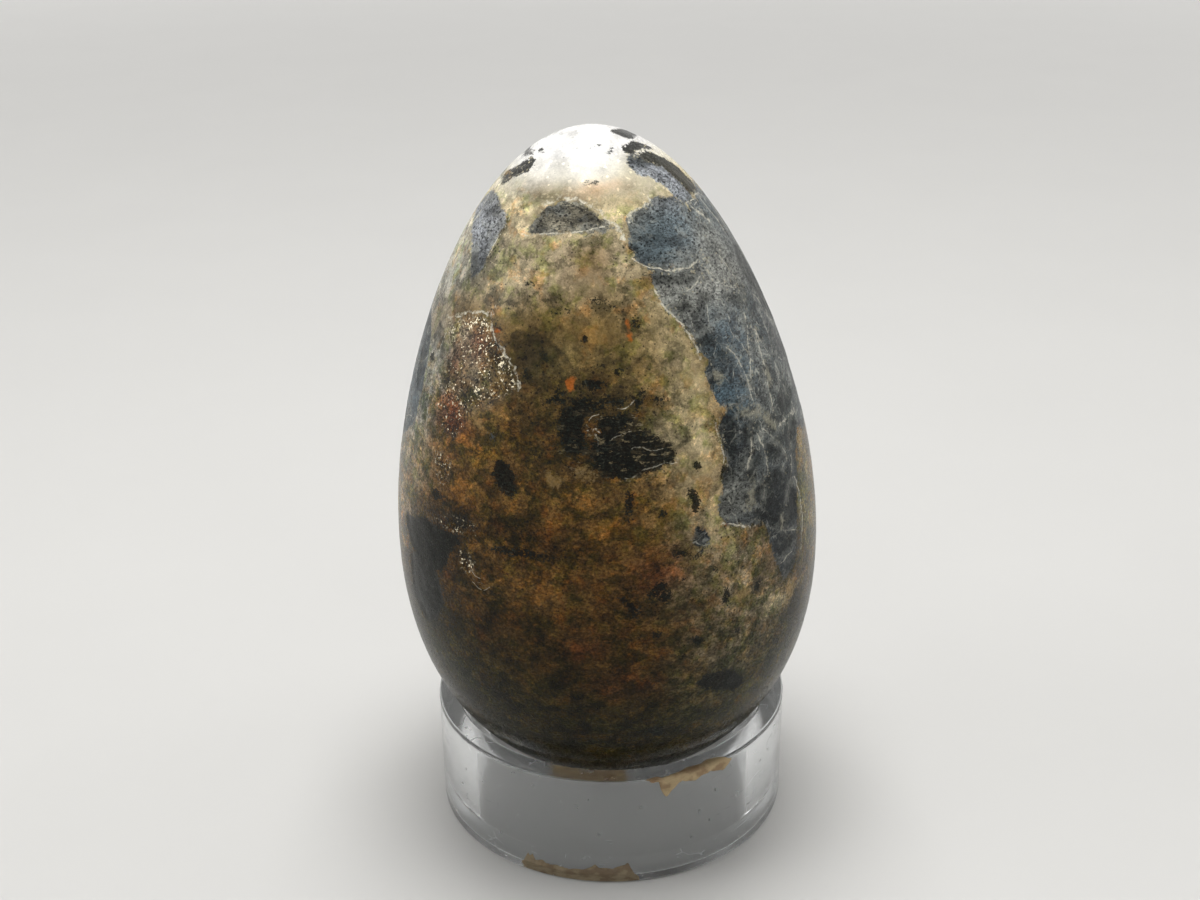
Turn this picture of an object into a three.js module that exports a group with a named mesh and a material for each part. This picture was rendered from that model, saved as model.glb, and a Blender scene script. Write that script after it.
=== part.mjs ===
// A polished stone egg standing blunt end down in a clear acrylic ring.
// Millimetres, +Z up, with the origin at the centre of the ring's foot.

import * as THREE from "three";

// Driving sizes of the ring
const ringDiameter = 38.1;
const ringHeight = 12.7;
const ringWall = 3.7;
const mouthChamfer = 1.6; // 45 degree chamfer round both mouths of the bore
const edgeRadius = 0.3; // polished rounding of the ring's sharp edges

// Driving sizes of the egg
const eggHeight = 69.8;
const eggDiameter = 44.2;
const eggTaper = 0.236; // how quickly the egg narrows from its blunt end to its tip
const eggFullness = 0.03; // how far both ends are swelled out
const eggLean = THREE.MathUtils.degToRad(1.9); // the way the egg was set down, tip towards -X

// Clearance between the stone and what it rests on
const seatGap = 0.3;

// Fineness of the round surfaces
const stepsAround = 72;
const stepsUpEgg = 44;
const stepsPerRounding = 3;
const seatSamples = 2000; // points on the egg's profile that are tried against the seat

const boreRadius = ringDiameter / 2 - ringWall;
const mouthRadius = boreRadius + mouthChamfer;

const acrylic = new THREE.MeshStandardMaterial({
  color: 0xdfe6ea,
  roughness: 0.08,
  metalness: 0,
  transparent: true,
  opacity: 0.35,
});
const polishedStone = new THREE.MeshStandardMaterial({ color: 0x6b5b3c, roughness: 0.22, metalness: 0 });

// Revolves a profile of radius and height pairs about +Z.
function revolve(profile) {
  const geometry = new THREE.LatheGeometry(profile, stepsAround);
  geometry.rotateX(Math.PI / 2);
  return geometry;
}

// The points of a convex corner of a profile, rounded by an arc that touches both straight sides.
// The arc turns anticlockwise from startAngle to endAngle, seen with the radius to the right and +Z up.
function roundedCorner(arcCentre, radius, startAngle, endAngle) {
  const points = [];
  for (let i = 0; i <= stepsPerRounding; i++) {
    const angle = startAngle + ((endAngle - startAngle) * i) / stepsPerRounding;
    points.push(
      new THREE.Vector2(arcCentre.x + radius * Math.cos(angle), arcCentre.y + radius * Math.sin(angle)),
    );
  }
  return points;
}

// The ring is the same at both ends, so it stands either way up: a straight outer wall, a flat land at
// each end, and a straight bore whose two mouths are chamfered into seats.
function ringProfile() {
  const wallRadius = ringDiameter / 2;
  const arcX = wallRadius - edgeRadius;
  const quarter = Math.PI / 2;
  // The rounding where a land meets its chamfer turns through 45 degrees.
  const landArcX = mouthRadius + edgeRadius * Math.tan(quarter / 4);
  const boreArcY = mouthChamfer + edgeRadius * Math.tan(quarter / 4);
  const boreArcX = boreRadius + edgeRadius;
  const corners = [
    [arcX, edgeRadius, 3 * quarter, 4 * quarter],
    [arcX, ringHeight - edgeRadius, 0, quarter],
    [landArcX, ringHeight - edgeRadius, quarter, 1.5 * quarter],
    [boreArcX, ringHeight - boreArcY, 1.5 * quarter, 2 * quarter],
    [boreArcX, boreArcY, 2 * quarter, 2.5 * quarter],
    [landArcX, edgeRadius, 2.5 * quarter, 3 * quarter],
  ];
  const points = corners.flatMap(([x, y, start, end]) =>
    roundedCorner(new THREE.Vector2(x, y), edgeRadius, start, end),
  );
  points.push(points[0].clone());
  return points;
}

// Half width of an egg of unit shape at a share t of its half height, from -1 at the blunt end to 1 at
// the tip: a circle, narrowed towards the tip and swelled towards both ends.
function eggHalfWidth(t) {
  const circle = Math.sqrt(Math.max(0, 1 - t * t));
  return circle * Math.exp(eggFullness * t * t - eggTaper * t);
}

// The egg's profile from the blunt end to the tip, about its own middle height. The points are spaced by
// equal turns of an angle, which crowds them at the ends, and scaled to the stated diameter.
function eggProfile(steps) {
  const unit = [];
  for (let i = 0; i <= steps; i++) {
    const t = -Math.cos((Math.PI * i) / steps);
    unit.push(new THREE.Vector2(i % steps ? eggHalfWidth(t) : 0, (t * eggHeight) / 2));
  }
  const widest = Math.max(...unit.map((point) => point.x));
  return unit.map((point) => new THREE.Vector2((point.x * eggDiameter) / 2 / widest, point.y));
}

// Where the egg comes to rest: it is let down the ring's axis until its surface meets the bore's chamfer
// or a land, and stops the seat clearance short of it. A stone too slim for the ring would come down on
// the table. The egg can rock about the point where the normals of its contact circle meet its axis.
function seatTheEgg() {
  const profile = eggProfile(seatSamples);
  let rest = { height: eggHeight / 2 + seatGap, pivot: eggHeight / 2 + seatGap };
  for (let i = 1; i < seatSamples; i++) {
    const { x: radius, y: height } = profile[i];
    if (radius < boreRadius || radius > ringDiameter / 2) continue;
    const drop = Math.max(0, mouthRadius - radius);
    const slope = (profile[i + 1].x - profile[i - 1].x) / (profile[i + 1].y - profile[i - 1].y);
    const clearance = seatGap * Math.hypot(1, slope);
    const middle = ringHeight - drop - height + clearance;
    if (middle > rest.height) rest = { height: middle, pivot: middle + height + radius * slope };
  }
  return rest;
}

const ring = new THREE.Mesh(revolve(ringProfile()), acrylic);
ring.name = "ring_stand";

const seat = seatTheEgg();
const egg = new THREE.Mesh(revolve(eggProfile(stepsUpEgg)), polishedStone);
egg.name = "stone_egg";
egg.position.z = seat.height - seat.pivot;

const eggInItsSeat = new THREE.Group();
eggInItsSeat.position.z = seat.pivot;
eggInItsSeat.rotation.y = -eggLean;
eggInItsSeat.add(egg);

const eggOnStand = new THREE.Group();
eggOnStand.add(ring, eggInItsSeat);

export default eggOnStand;
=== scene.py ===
# %% [markdown]
# A polished stone egg in a clear ring
#
# The object has two pieces. A heavy egg, cut from one lump of mixed rock and polished, rests blunt end
# down in a short ring of clear acrylic. The construction model gives the ring and the egg their sizes,
# and this script dresses both: it works out finer skins of the same shapes and gives them their finish.

# %% Load the construction model as a fixed frame
import math

import bmesh
import bpy
import numpy as np
from mathutils import Matrix, Vector


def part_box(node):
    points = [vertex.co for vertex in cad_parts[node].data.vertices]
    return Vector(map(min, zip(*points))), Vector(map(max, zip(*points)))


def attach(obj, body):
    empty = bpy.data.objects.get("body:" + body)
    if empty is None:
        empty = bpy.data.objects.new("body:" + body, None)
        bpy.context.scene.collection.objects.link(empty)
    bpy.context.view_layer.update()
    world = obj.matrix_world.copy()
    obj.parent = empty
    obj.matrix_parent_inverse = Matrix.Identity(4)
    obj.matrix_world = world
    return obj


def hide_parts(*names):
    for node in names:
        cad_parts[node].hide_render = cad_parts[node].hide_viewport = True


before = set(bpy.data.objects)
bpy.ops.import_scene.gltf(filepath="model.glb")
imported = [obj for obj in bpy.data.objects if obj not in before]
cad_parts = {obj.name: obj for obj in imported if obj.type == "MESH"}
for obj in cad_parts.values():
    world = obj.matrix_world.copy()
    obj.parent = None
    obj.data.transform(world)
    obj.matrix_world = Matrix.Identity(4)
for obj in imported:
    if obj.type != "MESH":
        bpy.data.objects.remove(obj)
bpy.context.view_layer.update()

mm = 0.001

# %% [markdown]
# Sizes
#
# Shapes are worked out in millimetres and turned into metres when they become a mesh. The ring's
# diameter and height and the egg's diameter are read from the frame. What a box can't tell, such as the
# wall's thickness or how fast the egg narrows, is named here.

# %% Sizes of the two pieces, in millimetres
ring_low, ring_high = [np.array(corner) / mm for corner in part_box("ring_stand")]
egg_low, egg_high = [np.array(corner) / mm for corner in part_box("stone_egg")]
ring_radius = (ring_high[0] - ring_low[0]) / 2
ring_height = ring_high[2] - ring_low[2]
ring_wall = 3.7
mouth_chamfer = 1.6
edge_radius = 0.3
bore_radius = ring_radius - ring_wall
mouth_radius = bore_radius + mouth_chamfer

egg_height = 69.8
egg_diameter = egg_high[1] - egg_low[1]
egg_taper = 0.236
egg_fullness = 0.03
egg_lean = math.radians(1.9)
seat_gap = 0.3
print(f"ring {2 * ring_radius:.1f} x {ring_height:.1f} mm, egg {egg_diameter:.1f} x {egg_height:.1f} mm")

# %% [markdown]
# The camera
#
# The camera stands in front of the egg, above its tip, and looks down on it. It is turned and rolled by
# less than a degree, as a camera held by hand is. Its three axes are worked out one from another:
# forward from the turn and the pitch, then right, then up.

# %% Camera at the photograph's viewing angle
picture_width = 1200
focal_length_pixels = 1600
camera_distance = 187.53
camera_elevation = math.radians(35.98)
camera_turn = math.radians(-0.340)
camera_pitch = math.radians(24.559)
camera_roll = math.radians(-0.717)

camera_place = camera_distance * np.array([0, -math.cos(camera_elevation), math.sin(camera_elevation)])
level = math.cos(camera_pitch)
forward = np.array([math.sin(camera_turn) * level, math.cos(camera_turn) * level, -math.sin(camera_pitch)])
level_right = np.array([math.cos(camera_turn), -math.sin(camera_turn), 0])
level_up = np.cross(level_right, forward)
right = level_right * math.cos(camera_roll) + level_up * math.sin(camera_roll)
up = level_up * math.cos(camera_roll) - level_right * math.sin(camera_roll)

lens = bpy.data.cameras.new("camera")
lens.sensor_width = 36
lens.lens = lens.sensor_width * focal_length_pixels / picture_width
lens.clip_start = 0.005
lens.clip_end = 20
camera = bpy.data.objects.new("camera", lens)
axes = np.column_stack([right, up, -forward])
camera.matrix_world = Matrix.Translation((camera_place * mm).tolist()) @ Matrix(axes.tolist()).to_4x4()
bpy.context.scene.collection.objects.link(camera)
bpy.context.scene.camera = camera
print(f"camera lens {lens.lens:.0f} mm, {camera_distance:.0f} mm from the foot's centre")

# %% [markdown]
# Shader maths
#
# A finish is a recipe of nodes. Written out by hand a recipe is long and hard to read, so a small class
# wraps a number that varies over the surface, and adding or multiplying two of them adds the Math node.
# Colours can't go through Math nodes, which would turn them grey, so they are layered and scaled by
# the recipe's own calls.


# %% A number that varies over a surface
class Varying:
    """One output socket of a recipe. Arithmetic on it adds Math nodes to the recipe."""

    def __init__(self, recipe, socket):
        self.recipe = recipe
        self.socket = socket

    def __add__(self, other):
        return self.recipe.maths("ADD", self, other)

    def __radd__(self, other):
        return self.recipe.maths("ADD", other, self)

    def __sub__(self, other):
        return self.recipe.maths("SUBTRACT", self, other)

    def __rsub__(self, other):
        return self.recipe.maths("SUBTRACT", other, self)

    def __mul__(self, other):
        return self.recipe.maths("MULTIPLY", self, other)

    def __rmul__(self, other):
        return self.recipe.maths("MULTIPLY", other, self)


# %% A recipe of nodes for one finish
class Recipe:
    """The node tree of one finish, and the calls that add to it."""

    def __init__(self, name):
        self.material = bpy.data.materials.new(name)
        self.material.use_nodes = True
        self.tree = self.material.node_tree
        self.tree.nodes.clear()

    def node(self, kind, settings, sockets, out=0):
        """Adds a node: its settings first, then a value or a link for each named or numbered socket."""
        added = self.tree.nodes.new(kind)
        for setting, value in settings.items():
            setattr(added, setting, value)
        for socket, value in sockets.items():
            if isinstance(value, Varying):
                self.tree.links.new(value.socket, added.inputs[socket])
            else:
                added.inputs[socket].default_value = value
        return Varying(self, added.outputs[out])

    def maths(self, operation, first, second):
        """A Math node on two numbers."""
        return self.node("ShaderNodeMath", {"operation": operation}, {0: first, 1: second})

    def place(self):
        """Where a point of the piece is, in millimetres."""
        where = self.node("ShaderNodeTexCoord", {}, {}, "Object")
        return self.scaled(where, 1 / mm)

    def painted(self, name, out="Fac"):
        """A number, colour or arrow that was worked out at every vertex and is stored in the mesh."""
        return self.node("ShaderNodeAttribute", {"attribute_name": name}, {}, out)

    def noise(self, place, grain, detail=2.0, roughness=0.5, out="Fac"):
        """Soft cloudy noise, 0 to 1, whose lumps are about one grain across."""
        sockets = {"Vector": place, "Scale": 1 / grain, "Detail": detail, "Roughness": roughness}
        return self.node("ShaderNodeTexNoise", {}, sockets, out)

    def grains(self, place, size, feature="F1", out="Distance"):
        """Cells like the crystals of a rock: the distance from a cell's middle, or a colour of its own."""
        sockets = {"Vector": place, "Scale": 1 / size}
        return self.node("ShaderNodeTexVoronoi", {"feature": feature}, sockets, out)

    def between(self, value, low, high):
        """0 below low, 1 above high, and an eased ramp from one to the other."""
        settings = {"interpolation_type": "SMOOTHSTEP"}
        return self.node("ShaderNodeMapRange", settings, {"Value": value, "From Min": low, "From Max": high})

    def below(self, value, low, high):
        """1 below low, 0 above high: the ramp of between, turned over."""
        return 1 - self.between(value, low, high)

    def part(self, colour, letter):
        """The red, green or blue part of a colour, or the first, second or third of an arrow."""
        return self.node("ShaderNodeSeparateXYZ", {}, {0: colour}, letter)

    def scaled(self, colour, amount):
        """A colour or an arrow times a number."""
        return self.node("ShaderNodeVectorMath", {"operation": "SCALE"}, {0: colour, "Scale": amount})

    def tinted(self, colour, other):
        """Two colours or arrows multiplied part by part."""
        return self.node("ShaderNodeVectorMath", {"operation": "MULTIPLY"}, {0: colour, 1: other})

    def moved(self, place, arrow):
        """Two arrows added."""
        return self.node("ShaderNodeVectorMath", {"operation": "ADD"}, {0: place, 1: arrow})

    def layer(self, under, over, mask):
        """One colour laid over another where the mask is 1."""
        # a Mix node has sockets for numbers and arrows too: those for colours are 6 and 7 in and 2 out
        sockets = {0: mask, 6: under, 7: over}
        return self.node("ShaderNodeMix", {"data_type": "RGBA", "clamp_factor": True}, sockets, 2)

    def stained(self, colour, stain, mask):
        """A colour multiplied by a stain, part by part, where the mask is 1."""
        return self.layer(colour, self.tinted(colour, stain), mask)

    def larger(self, first, second):
        """The larger of two numbers."""
        return self.maths("MAXIMUM", first, second)

    def length(self, across, depth):
        """The length of an arrow with these two parts: the root of the sum of their squares."""
        return self.maths("SQRT", across * across + depth * depth, 0.0)

    def swerve(self, place, grain, most):
        """Arrows that turn softly this way and that: a noise's colour, less a half, times a length."""
        colour = self.noise(place, grain, detail=3, roughness=0.6, out="Color")
        return self.scaled(self.moved(colour, (-0.5, -0.5, -0.5)), most)

    def luck(self, place, size, letter):
        """A random number from 0 to 1 that each cell has to itself."""
        return self.part(self.grains(place, size, out="Color"), letter)

    def surface(self, **sockets):
        """The shader itself, with sockets named by their words joined by underscores."""
        named = {words.replace("_", " "): value for words, value in sockets.items()}
        return self.node("ShaderNodeBsdfPrincipled", {}, named)

    def count(self):
        """How many nodes the recipe has so far."""
        return len(self.tree.nodes)

    def finish(self, shader):
        """Leads the shader to the output and gives the finished material."""
        output = self.tree.nodes.new("ShaderNodeOutputMaterial")
        self.tree.links.new(shader.socket, output.inputs["Surface"])
        print(f"{self.material.name}: {self.count()} nodes")
        return self.material


# %% A colour as it shows on a screen, turned into light
def tint(red, green, blue):
    """Red, green and blue from 0 to 255, undoing the curve that a screen puts on light."""
    shown = np.array([red, green, blue]) / 255
    return np.where(shown <= 0.04045, shown / 12.92, ((shown + 0.055) / 1.055) ** 2.4)


def paint(red, green, blue):
    """The same colour as a socket takes it: its light, and 1 for full cover."""
    return (*[float(part) for part in tint(red, green, blue)], 1.0)


# %% [markdown]
# Turning a grid into a mesh
#
# Every new piece here is a grid of points worked out at once with numpy. The grid is closed into a skin
# with faces that run anticlockwise seen from outside, so that they point outwards.


# %% Grids and meshes
def make_piece(name, points, faces):
    """A smooth mesh object from points in millimetres, with its place in its mesh."""
    mesh = bpy.data.meshes.new(name)
    mesh.from_pydata((points * mm).tolist(), [], faces)
    mesh.shade_smooth()
    piece = bpy.data.objects.new(name, mesh)
    bpy.context.scene.collection.objects.link(piece)
    return piece


def grid_faces(index, wrap_rows=False):
    """Faces between the rows of a grid of vertex numbers. Each row closes on itself, and with wrap_rows
    the last row also meets the first."""
    lower = np.roll(index, -1, axis=0)
    if not wrap_rows:
        index, lower = index[:-1], lower[:-1]
    corners = [index, lower, np.roll(lower, -1, axis=1), np.roll(index, -1, axis=1)]
    return np.stack(corners, axis=-1).reshape(-1, 4).tolist()


# %% [markdown]
# The floor
#
# The floor is a wide pale dish: flat in the middle, where the ring stands, and curving up into a wall
# far away, so that no edge shows from any side. It lies a hair's breadth below the foot, because two
# faces in one plane would flicker. The lamps hardly reach the far wall, so it glows a little wherever it
# is looked at, straight or in a reflection or through the acrylic, and stays as pale as the floor.

# %% Pale floor with a curved rim
floor_drop = 0.02
floor_radius = 900.0
rim_bend = 350.0
wall_height = 900.0
bend_turn = np.linspace(0, math.pi / 2, 17)
wall_reach = floor_radius + rim_bend
floor_reach = np.concatenate([[60, 250, 550], floor_radius + rim_bend * np.sin(bend_turn), [wall_reach]])
floor_level = np.concatenate([[0, 0, 0], rim_bend * (1 - np.cos(bend_turn)), [wall_height]])
floor_level -= floor_drop
floor_turn = np.linspace(0, 2 * math.pi, 128, endpoint=False)
floor_points = np.stack(
    [
        floor_reach[:, None] * np.cos(floor_turn),
        floor_reach[:, None] * np.sin(floor_turn),
        floor_level[:, None] + 0 * floor_turn,
    ],
    axis=-1,
).reshape(-1, 3)
floor_index = np.arange(len(floor_points)).reshape(len(floor_reach), len(floor_turn))
floor_faces = [floor_index[0].tolist()] + grid_faces(floor_index)
floor = make_piece("floor", floor_points, floor_faces)
print(f"floor reaches {wall_reach:.0f} mm from the ring")

# %% Finish of the floor
recipe = Recipe("pale_floor")
cloud = recipe.noise(recipe.place(), 30, detail=3)
pale_grey_floor = paint(206, 205, 202)[:3]
floor_colour = recipe.scaled(pale_grey_floor, 0.98 + 0.04 * cloud)
kinds_of_ray = ["Is Camera Ray", "Is Glossy Ray", "Is Transmission Ray"]
straight, mirrored, through = [recipe.node("ShaderNodeLightPath", {}, {}, kind) for kind in kinds_of_ray]
looked_at = straight + mirrored + through
across, depth = recipe.part(recipe.place(), "X"), recipe.part(recipe.place(), "Y")
reach = recipe.length(across, depth)
glow_start, glow_full, glow_most = 150.0, floor_radius + 50, 0.5
glow = glow_most * recipe.between(reach, glow_start, glow_full) * recipe.maths("MINIMUM", looked_at, 1.0)
glow_colour = recipe.scaled((1.0, 0.99, 0.97), glow)
dish = recipe.surface(
    Base_Color=floor_colour, Roughness=0.65, Emission_Color=glow_colour, Emission_Strength=1.0
)
floor.data.materials.append(recipe.finish(dish))

# %% [markdown]
# The light
#
# One large soft lamp hangs above the egg and puts the broad gleam on the tip. Two weaker ones stand at
# the sides and draw the pale sheen on the shoulders. The sky fills in the rest evenly.


# %% Soft lamps and sky
lit_height = 0.04


def soft_lamp(name, place, width, height, power):
    """A flat lamp at a place in metres that faces the egg at the lit height."""
    light = bpy.data.lights.new(name, "AREA")
    light.shape = "RECTANGLE"
    light.size = width
    light.size_y = height
    light.energy = power
    lamp = bpy.data.objects.new(name, light)
    from_egg = Vector(place) - Vector((0, 0, lit_height))
    lamp.rotation_euler = from_egg.to_track_quat("Z", "Y").to_euler()
    lamp.location = place
    bpy.context.scene.collection.objects.link(lamp)


soft_lamp("overhead_lamp", (0.0, 0.05, 0.55), width=0.32, height=0.32, power=3.0)
soft_lamp("left_lamp", (-0.55, -0.05, 0.30), width=0.35, height=0.45, power=0.7)
soft_lamp("right_lamp", (0.60, 0.10, 0.28), width=0.30, height=0.45, power=0.6)

sky_strength = 0.3
world = bpy.data.worlds.new("sky")
world.use_nodes = True
world.node_tree.nodes["Background"].inputs["Color"].default_value = (1, 1, 1, 1)
world.node_tree.nodes["Background"].inputs["Strength"].default_value = sky_strength
bpy.context.scene.world = world
bpy.context.scene.view_settings.view_transform = "Standard"

# %% [markdown]
# The egg's shape
#
# An egg is a circle that is narrowed towards one end. The half width at a share of the half height is
# worked out, then measured along its curve, because the pattern of the stone is laid out by distance
# along the skin. The profile is the one that the construction model is turned from.

# %% Profile of the egg, measured along its skin from the tip
profile_points = 4001
profile_turn = np.linspace(0, math.pi, profile_points)
profile_share = np.cos(profile_turn)


def half_width(share):
    """A circle's half width, times e to the power of fullness times the share squared less taper times
    the share. The share runs from -1 at the blunt end to 1 at the tip."""
    circle = np.sqrt(np.clip(1 - share**2, 0, None))
    return circle * np.exp(egg_fullness * share**2 - egg_taper * share)


profile_radius = half_width(profile_share)
profile_radius *= egg_diameter / 2 / profile_radius.max()
profile_height = profile_share * egg_height / 2
steps_along = np.hypot(np.diff(profile_radius), np.diff(profile_height))
profile_arc = np.concatenate([[0], np.cumsum(steps_along)])
skin_length = profile_arc[-1]
print(f"the skin runs {skin_length:.2f} mm from the tip to the blunt end")


# %% Where the egg rests in the ring
def seat_the_egg():
    """The height of the egg's middle, and of the point that it rocks about: the highest place at which
    any point of the profile would touch the chamfer or the land, less the clearance."""
    slope = np.gradient(profile_radius, profile_height)
    drop = np.clip(mouth_radius - profile_radius, 0, None)
    clearance = seat_gap * np.hypot(1, slope)
    middle = ring_height - drop - profile_height + clearance
    meets_ring = (profile_radius > bore_radius) & (profile_radius < ring_radius)
    touch = np.argmax(np.where(meets_ring, middle, -np.inf))
    pivot = middle[touch] + profile_height[touch] + profile_radius[touch] * slope[touch]
    return middle[touch], pivot, profile_arc[touch]


egg_middle, egg_pivot, seat_arc = seat_the_egg()


def lean(points):
    """Points or arrows of the upright egg, turned about the y axis so that the tip goes towards -X."""
    cosine, sine = math.cos(egg_lean), math.sin(egg_lean)
    return points @ np.array([[cosine, 0, sine], [0, 1, 0], [-sine, 0, cosine]])


print(f"egg's middle at {egg_middle:.2f} mm, seat {seat_arc:.1f} mm along the skin")

# %% [markdown]
# The skin as a grid
#
# Rows of points run round the egg, a little over a third of a millimetre apart, from the tip to the
# blunt end. Each point knows how many degrees it is round from the front and how many millimetres down
# from the tip. All that follows, the pattern and the small relief, is worked out from those two numbers.

# %% Points of the egg's skin
columns = 400
rows = 244
row_arc = np.linspace(0, skin_length, rows + 1)[1:-1]
column_round = np.linspace(-180, 180, columns, endpoint=False)
skin_down = np.concatenate([[0], np.repeat(row_arc, columns), [skin_length]])
skin_round = np.concatenate([[0], np.tile(column_round, rows - 1), [0]])
skin_radius = np.interp(skin_down, profile_arc, profile_radius)
skin_height = np.interp(skin_down, profile_arc, profile_height)
skin_angle = np.radians(skin_round)
skin_place = np.column_stack(
    [skin_radius * np.sin(skin_angle), -skin_radius * np.cos(skin_angle), skin_height]
)
tilt_along = np.arctan2(np.gradient(profile_radius, profile_arc), -np.gradient(profile_height, profile_arc))
skin_tilt = np.interp(skin_down, profile_arc, tilt_along)
skin_outward = np.column_stack(
    [np.cos(skin_tilt) * np.sin(skin_angle), -np.cos(skin_tilt) * np.cos(skin_angle), np.sin(skin_tilt)]
)
print(f"{len(skin_down)} points, a row every {skin_length / rows:.2f} mm")

# %% [markdown]
# Natural unevenness
#
# Nothing in a rock is ruled with a straight edge. Lattice noise gives soft lumps: every corner of an
# imagined grid of cubes gets a random number, and a point takes a smooth mean of its cube's corners.
# Several layers, each finer and weaker than the last, give shapes like clouds. The random numbers come
# from one short table, and multiplying by large primes spreads the corners over it.


# %% Lattice noise worked out for whole arrays
table_length = 4096
large_primes = np.array([73856093, 19349663, 83492791])


def lumps(points, grain, seed):
    """Noise from -1 to 1 with lumps of one size: the eight corner numbers, eased from one to the next."""
    numbers = np.random.default_rng(seed).uniform(-1, 1, table_length)
    cell = points / grain
    corner = np.floor(cell).astype(np.int64)
    ease = cell - corner
    ease = ease * ease * (3 - 2 * ease)
    total = np.zeros(len(points))
    for step in np.ndindex(2, 2, 2):
        near = corner + np.array(step)
        key = np.bitwise_xor.reduce(near * large_primes, axis=1)
        share = np.where(np.array(step) == 1, ease, 1 - ease).prod(axis=1)
        total += share * numbers[key % table_length]
    return total


def clouds(points, grain, seed, layers=3):
    """Layers of lumps, each half the size and half the height of the one before, from -1 to 1."""
    total = sum(lumps(points, grain / 2**i, seed + i) / 2**i for i in range(layers))
    return total / (2 - 2 ** (1 - layers))


# %% Wandering coordinates that make drawn outlines natural
wander = 0.6
warped_down = skin_down + wander * clouds(skin_place, 2.6, 11)
warped_across = wander * clouds(skin_place, 2.6, 21)
print(f"outlines wander by up to {wander} mm")


# %% [markdown]
# Drawing on the egg
#
# A patch of rock is drawn as an outline of a few given corners, or as an oval. For each point of
# the skin the depth inside the patch is worked out, in millimetres, positive inside and negative
# outside. Depth changes evenly from point to point, so the finish can cut it at zero and get a crisp
# edge, however coarse the grid.


# %% Which points are near a drawn shape, and how far its sides are from them
def across_from(round_degrees, chosen):
    """Millimetres round the egg from a line of longitude to the chosen points, the short way round."""
    turn = (skin_round[chosen] - round_degrees + 180) % 360 - 180
    return np.radians(turn) * skin_radius[chosen] + warped_across[chosen]


def cut_corners(corners, closed, times=2):
    """Each corner is replaced by two points, a quarter of the way along the sides that meet there."""
    for _ in range(times):
        following = np.roll(corners, -1, axis=0) if closed else corners[1:]
        first = corners if closed else corners[:-1]
        quarter = 0.75 * first + 0.25 * following
        three_quarters = 0.25 * first + 0.75 * following
        cut = np.stack([quarter, three_quarters], axis=1).reshape(-1, 2)
        corners = cut if closed else np.concatenate([corners[:1], cut, corners[-1:]])
    return corners


def near_box(corners, margin):
    """Which points of the skin are within a margin, in millimetres, of the corners' box."""
    low, high = corners.min(axis=0), corners.max(axis=0)
    middle, half = (low[0] + high[0]) / 2, (high[0] - low[0]) / 2
    turn = np.abs((skin_round - middle + 180) % 360 - 180)
    in_rows = (skin_down > low[1] - margin) & (skin_down < high[1] + margin)
    slack = np.degrees(margin / np.clip(skin_radius, 1, None))
    return np.flatnonzero(in_rows & (turn < half + slack))


def to_side(start, end, chosen):
    """Across and down from the chosen points to the nearest point of a side, and the side's two ends."""
    start_x, start_y = -across_from(start[0], chosen), start[1] - warped_down[chosen]
    side_x = np.radians(end[0] - start[0]) * skin_radius[chosen]
    side_y = end[1] - start[1]
    length_squared = side_x**2 + side_y**2 + 1e-9
    share = np.clip(-(start_x * side_x + start_y * side_y) / length_squared, 0, 1)
    return start_x + share * side_x, start_y + share * side_y, start_x, start_y, side_x, side_y


# %% Depth inside outlines and ovals
far_away = -3.0


def outline_depth(corners):
    """Depth inside a closed outline: the distance to its nearest side, with the sign from counting how
    many sides cross a line drawn to the right."""
    corners = cut_corners(np.array(corners, float), closed=True)
    chosen = near_box(corners, -far_away)
    nearest = np.full(len(chosen), np.inf)
    inside = np.zeros(len(chosen), bool)
    for start, end in zip(corners, np.roll(corners, -1, axis=0)):
        off_x, off_y, start_x, start_y, side_x, side_y = to_side(start, end, chosen)
        nearest = np.minimum(nearest, np.hypot(off_x, off_y))
        spans = (start_y > 0) != (start_y + side_y > 0)
        crossing = start_x - start_y * side_x / (side_y if side_y else 1e-9)
        inside ^= spans & (crossing > 0)
    depth = np.full(len(skin_down), far_away)
    depth[chosen] = np.maximum(np.where(inside, nearest, -nearest), far_away)
    return depth


def oval_depth(round_degrees, down, half_wide, half_tall, turned=0.0):
    """Depth inside an oval whose halves are in millimetres, turned anticlockwise by some degrees."""
    chosen = near_box(np.array([[round_degrees, down]]), max(half_wide, half_tall) - far_away)
    x = across_from(round_degrees, chosen)
    y = down - warped_down[chosen]
    cosine, sine = math.cos(math.radians(turned)), math.sin(math.radians(turned))
    share = np.hypot((x * cosine + y * sine) / half_wide, (y * cosine - x * sine) / half_tall)
    depth = np.full(len(skin_down), far_away)
    depth[chosen] = np.maximum((1 - share) * min(half_wide, half_tall), far_away)
    return depth


def deepest(outlines, ovals):
    """The greatest depth that any of the patches gives."""
    layers = [outline_depth(corners) for corners in outlines] + [oval_depth(*oval) for oval in ovals]
    return np.max(layers, axis=0)


# %% [markdown]
# The slates
#
# Blocks of blue grey slate are set in the brown ground: a lens under the tip, a round block beside it
# with a lilac band above, a large broken one that runs down the right side and round to the back, and
# others on the left.

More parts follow.
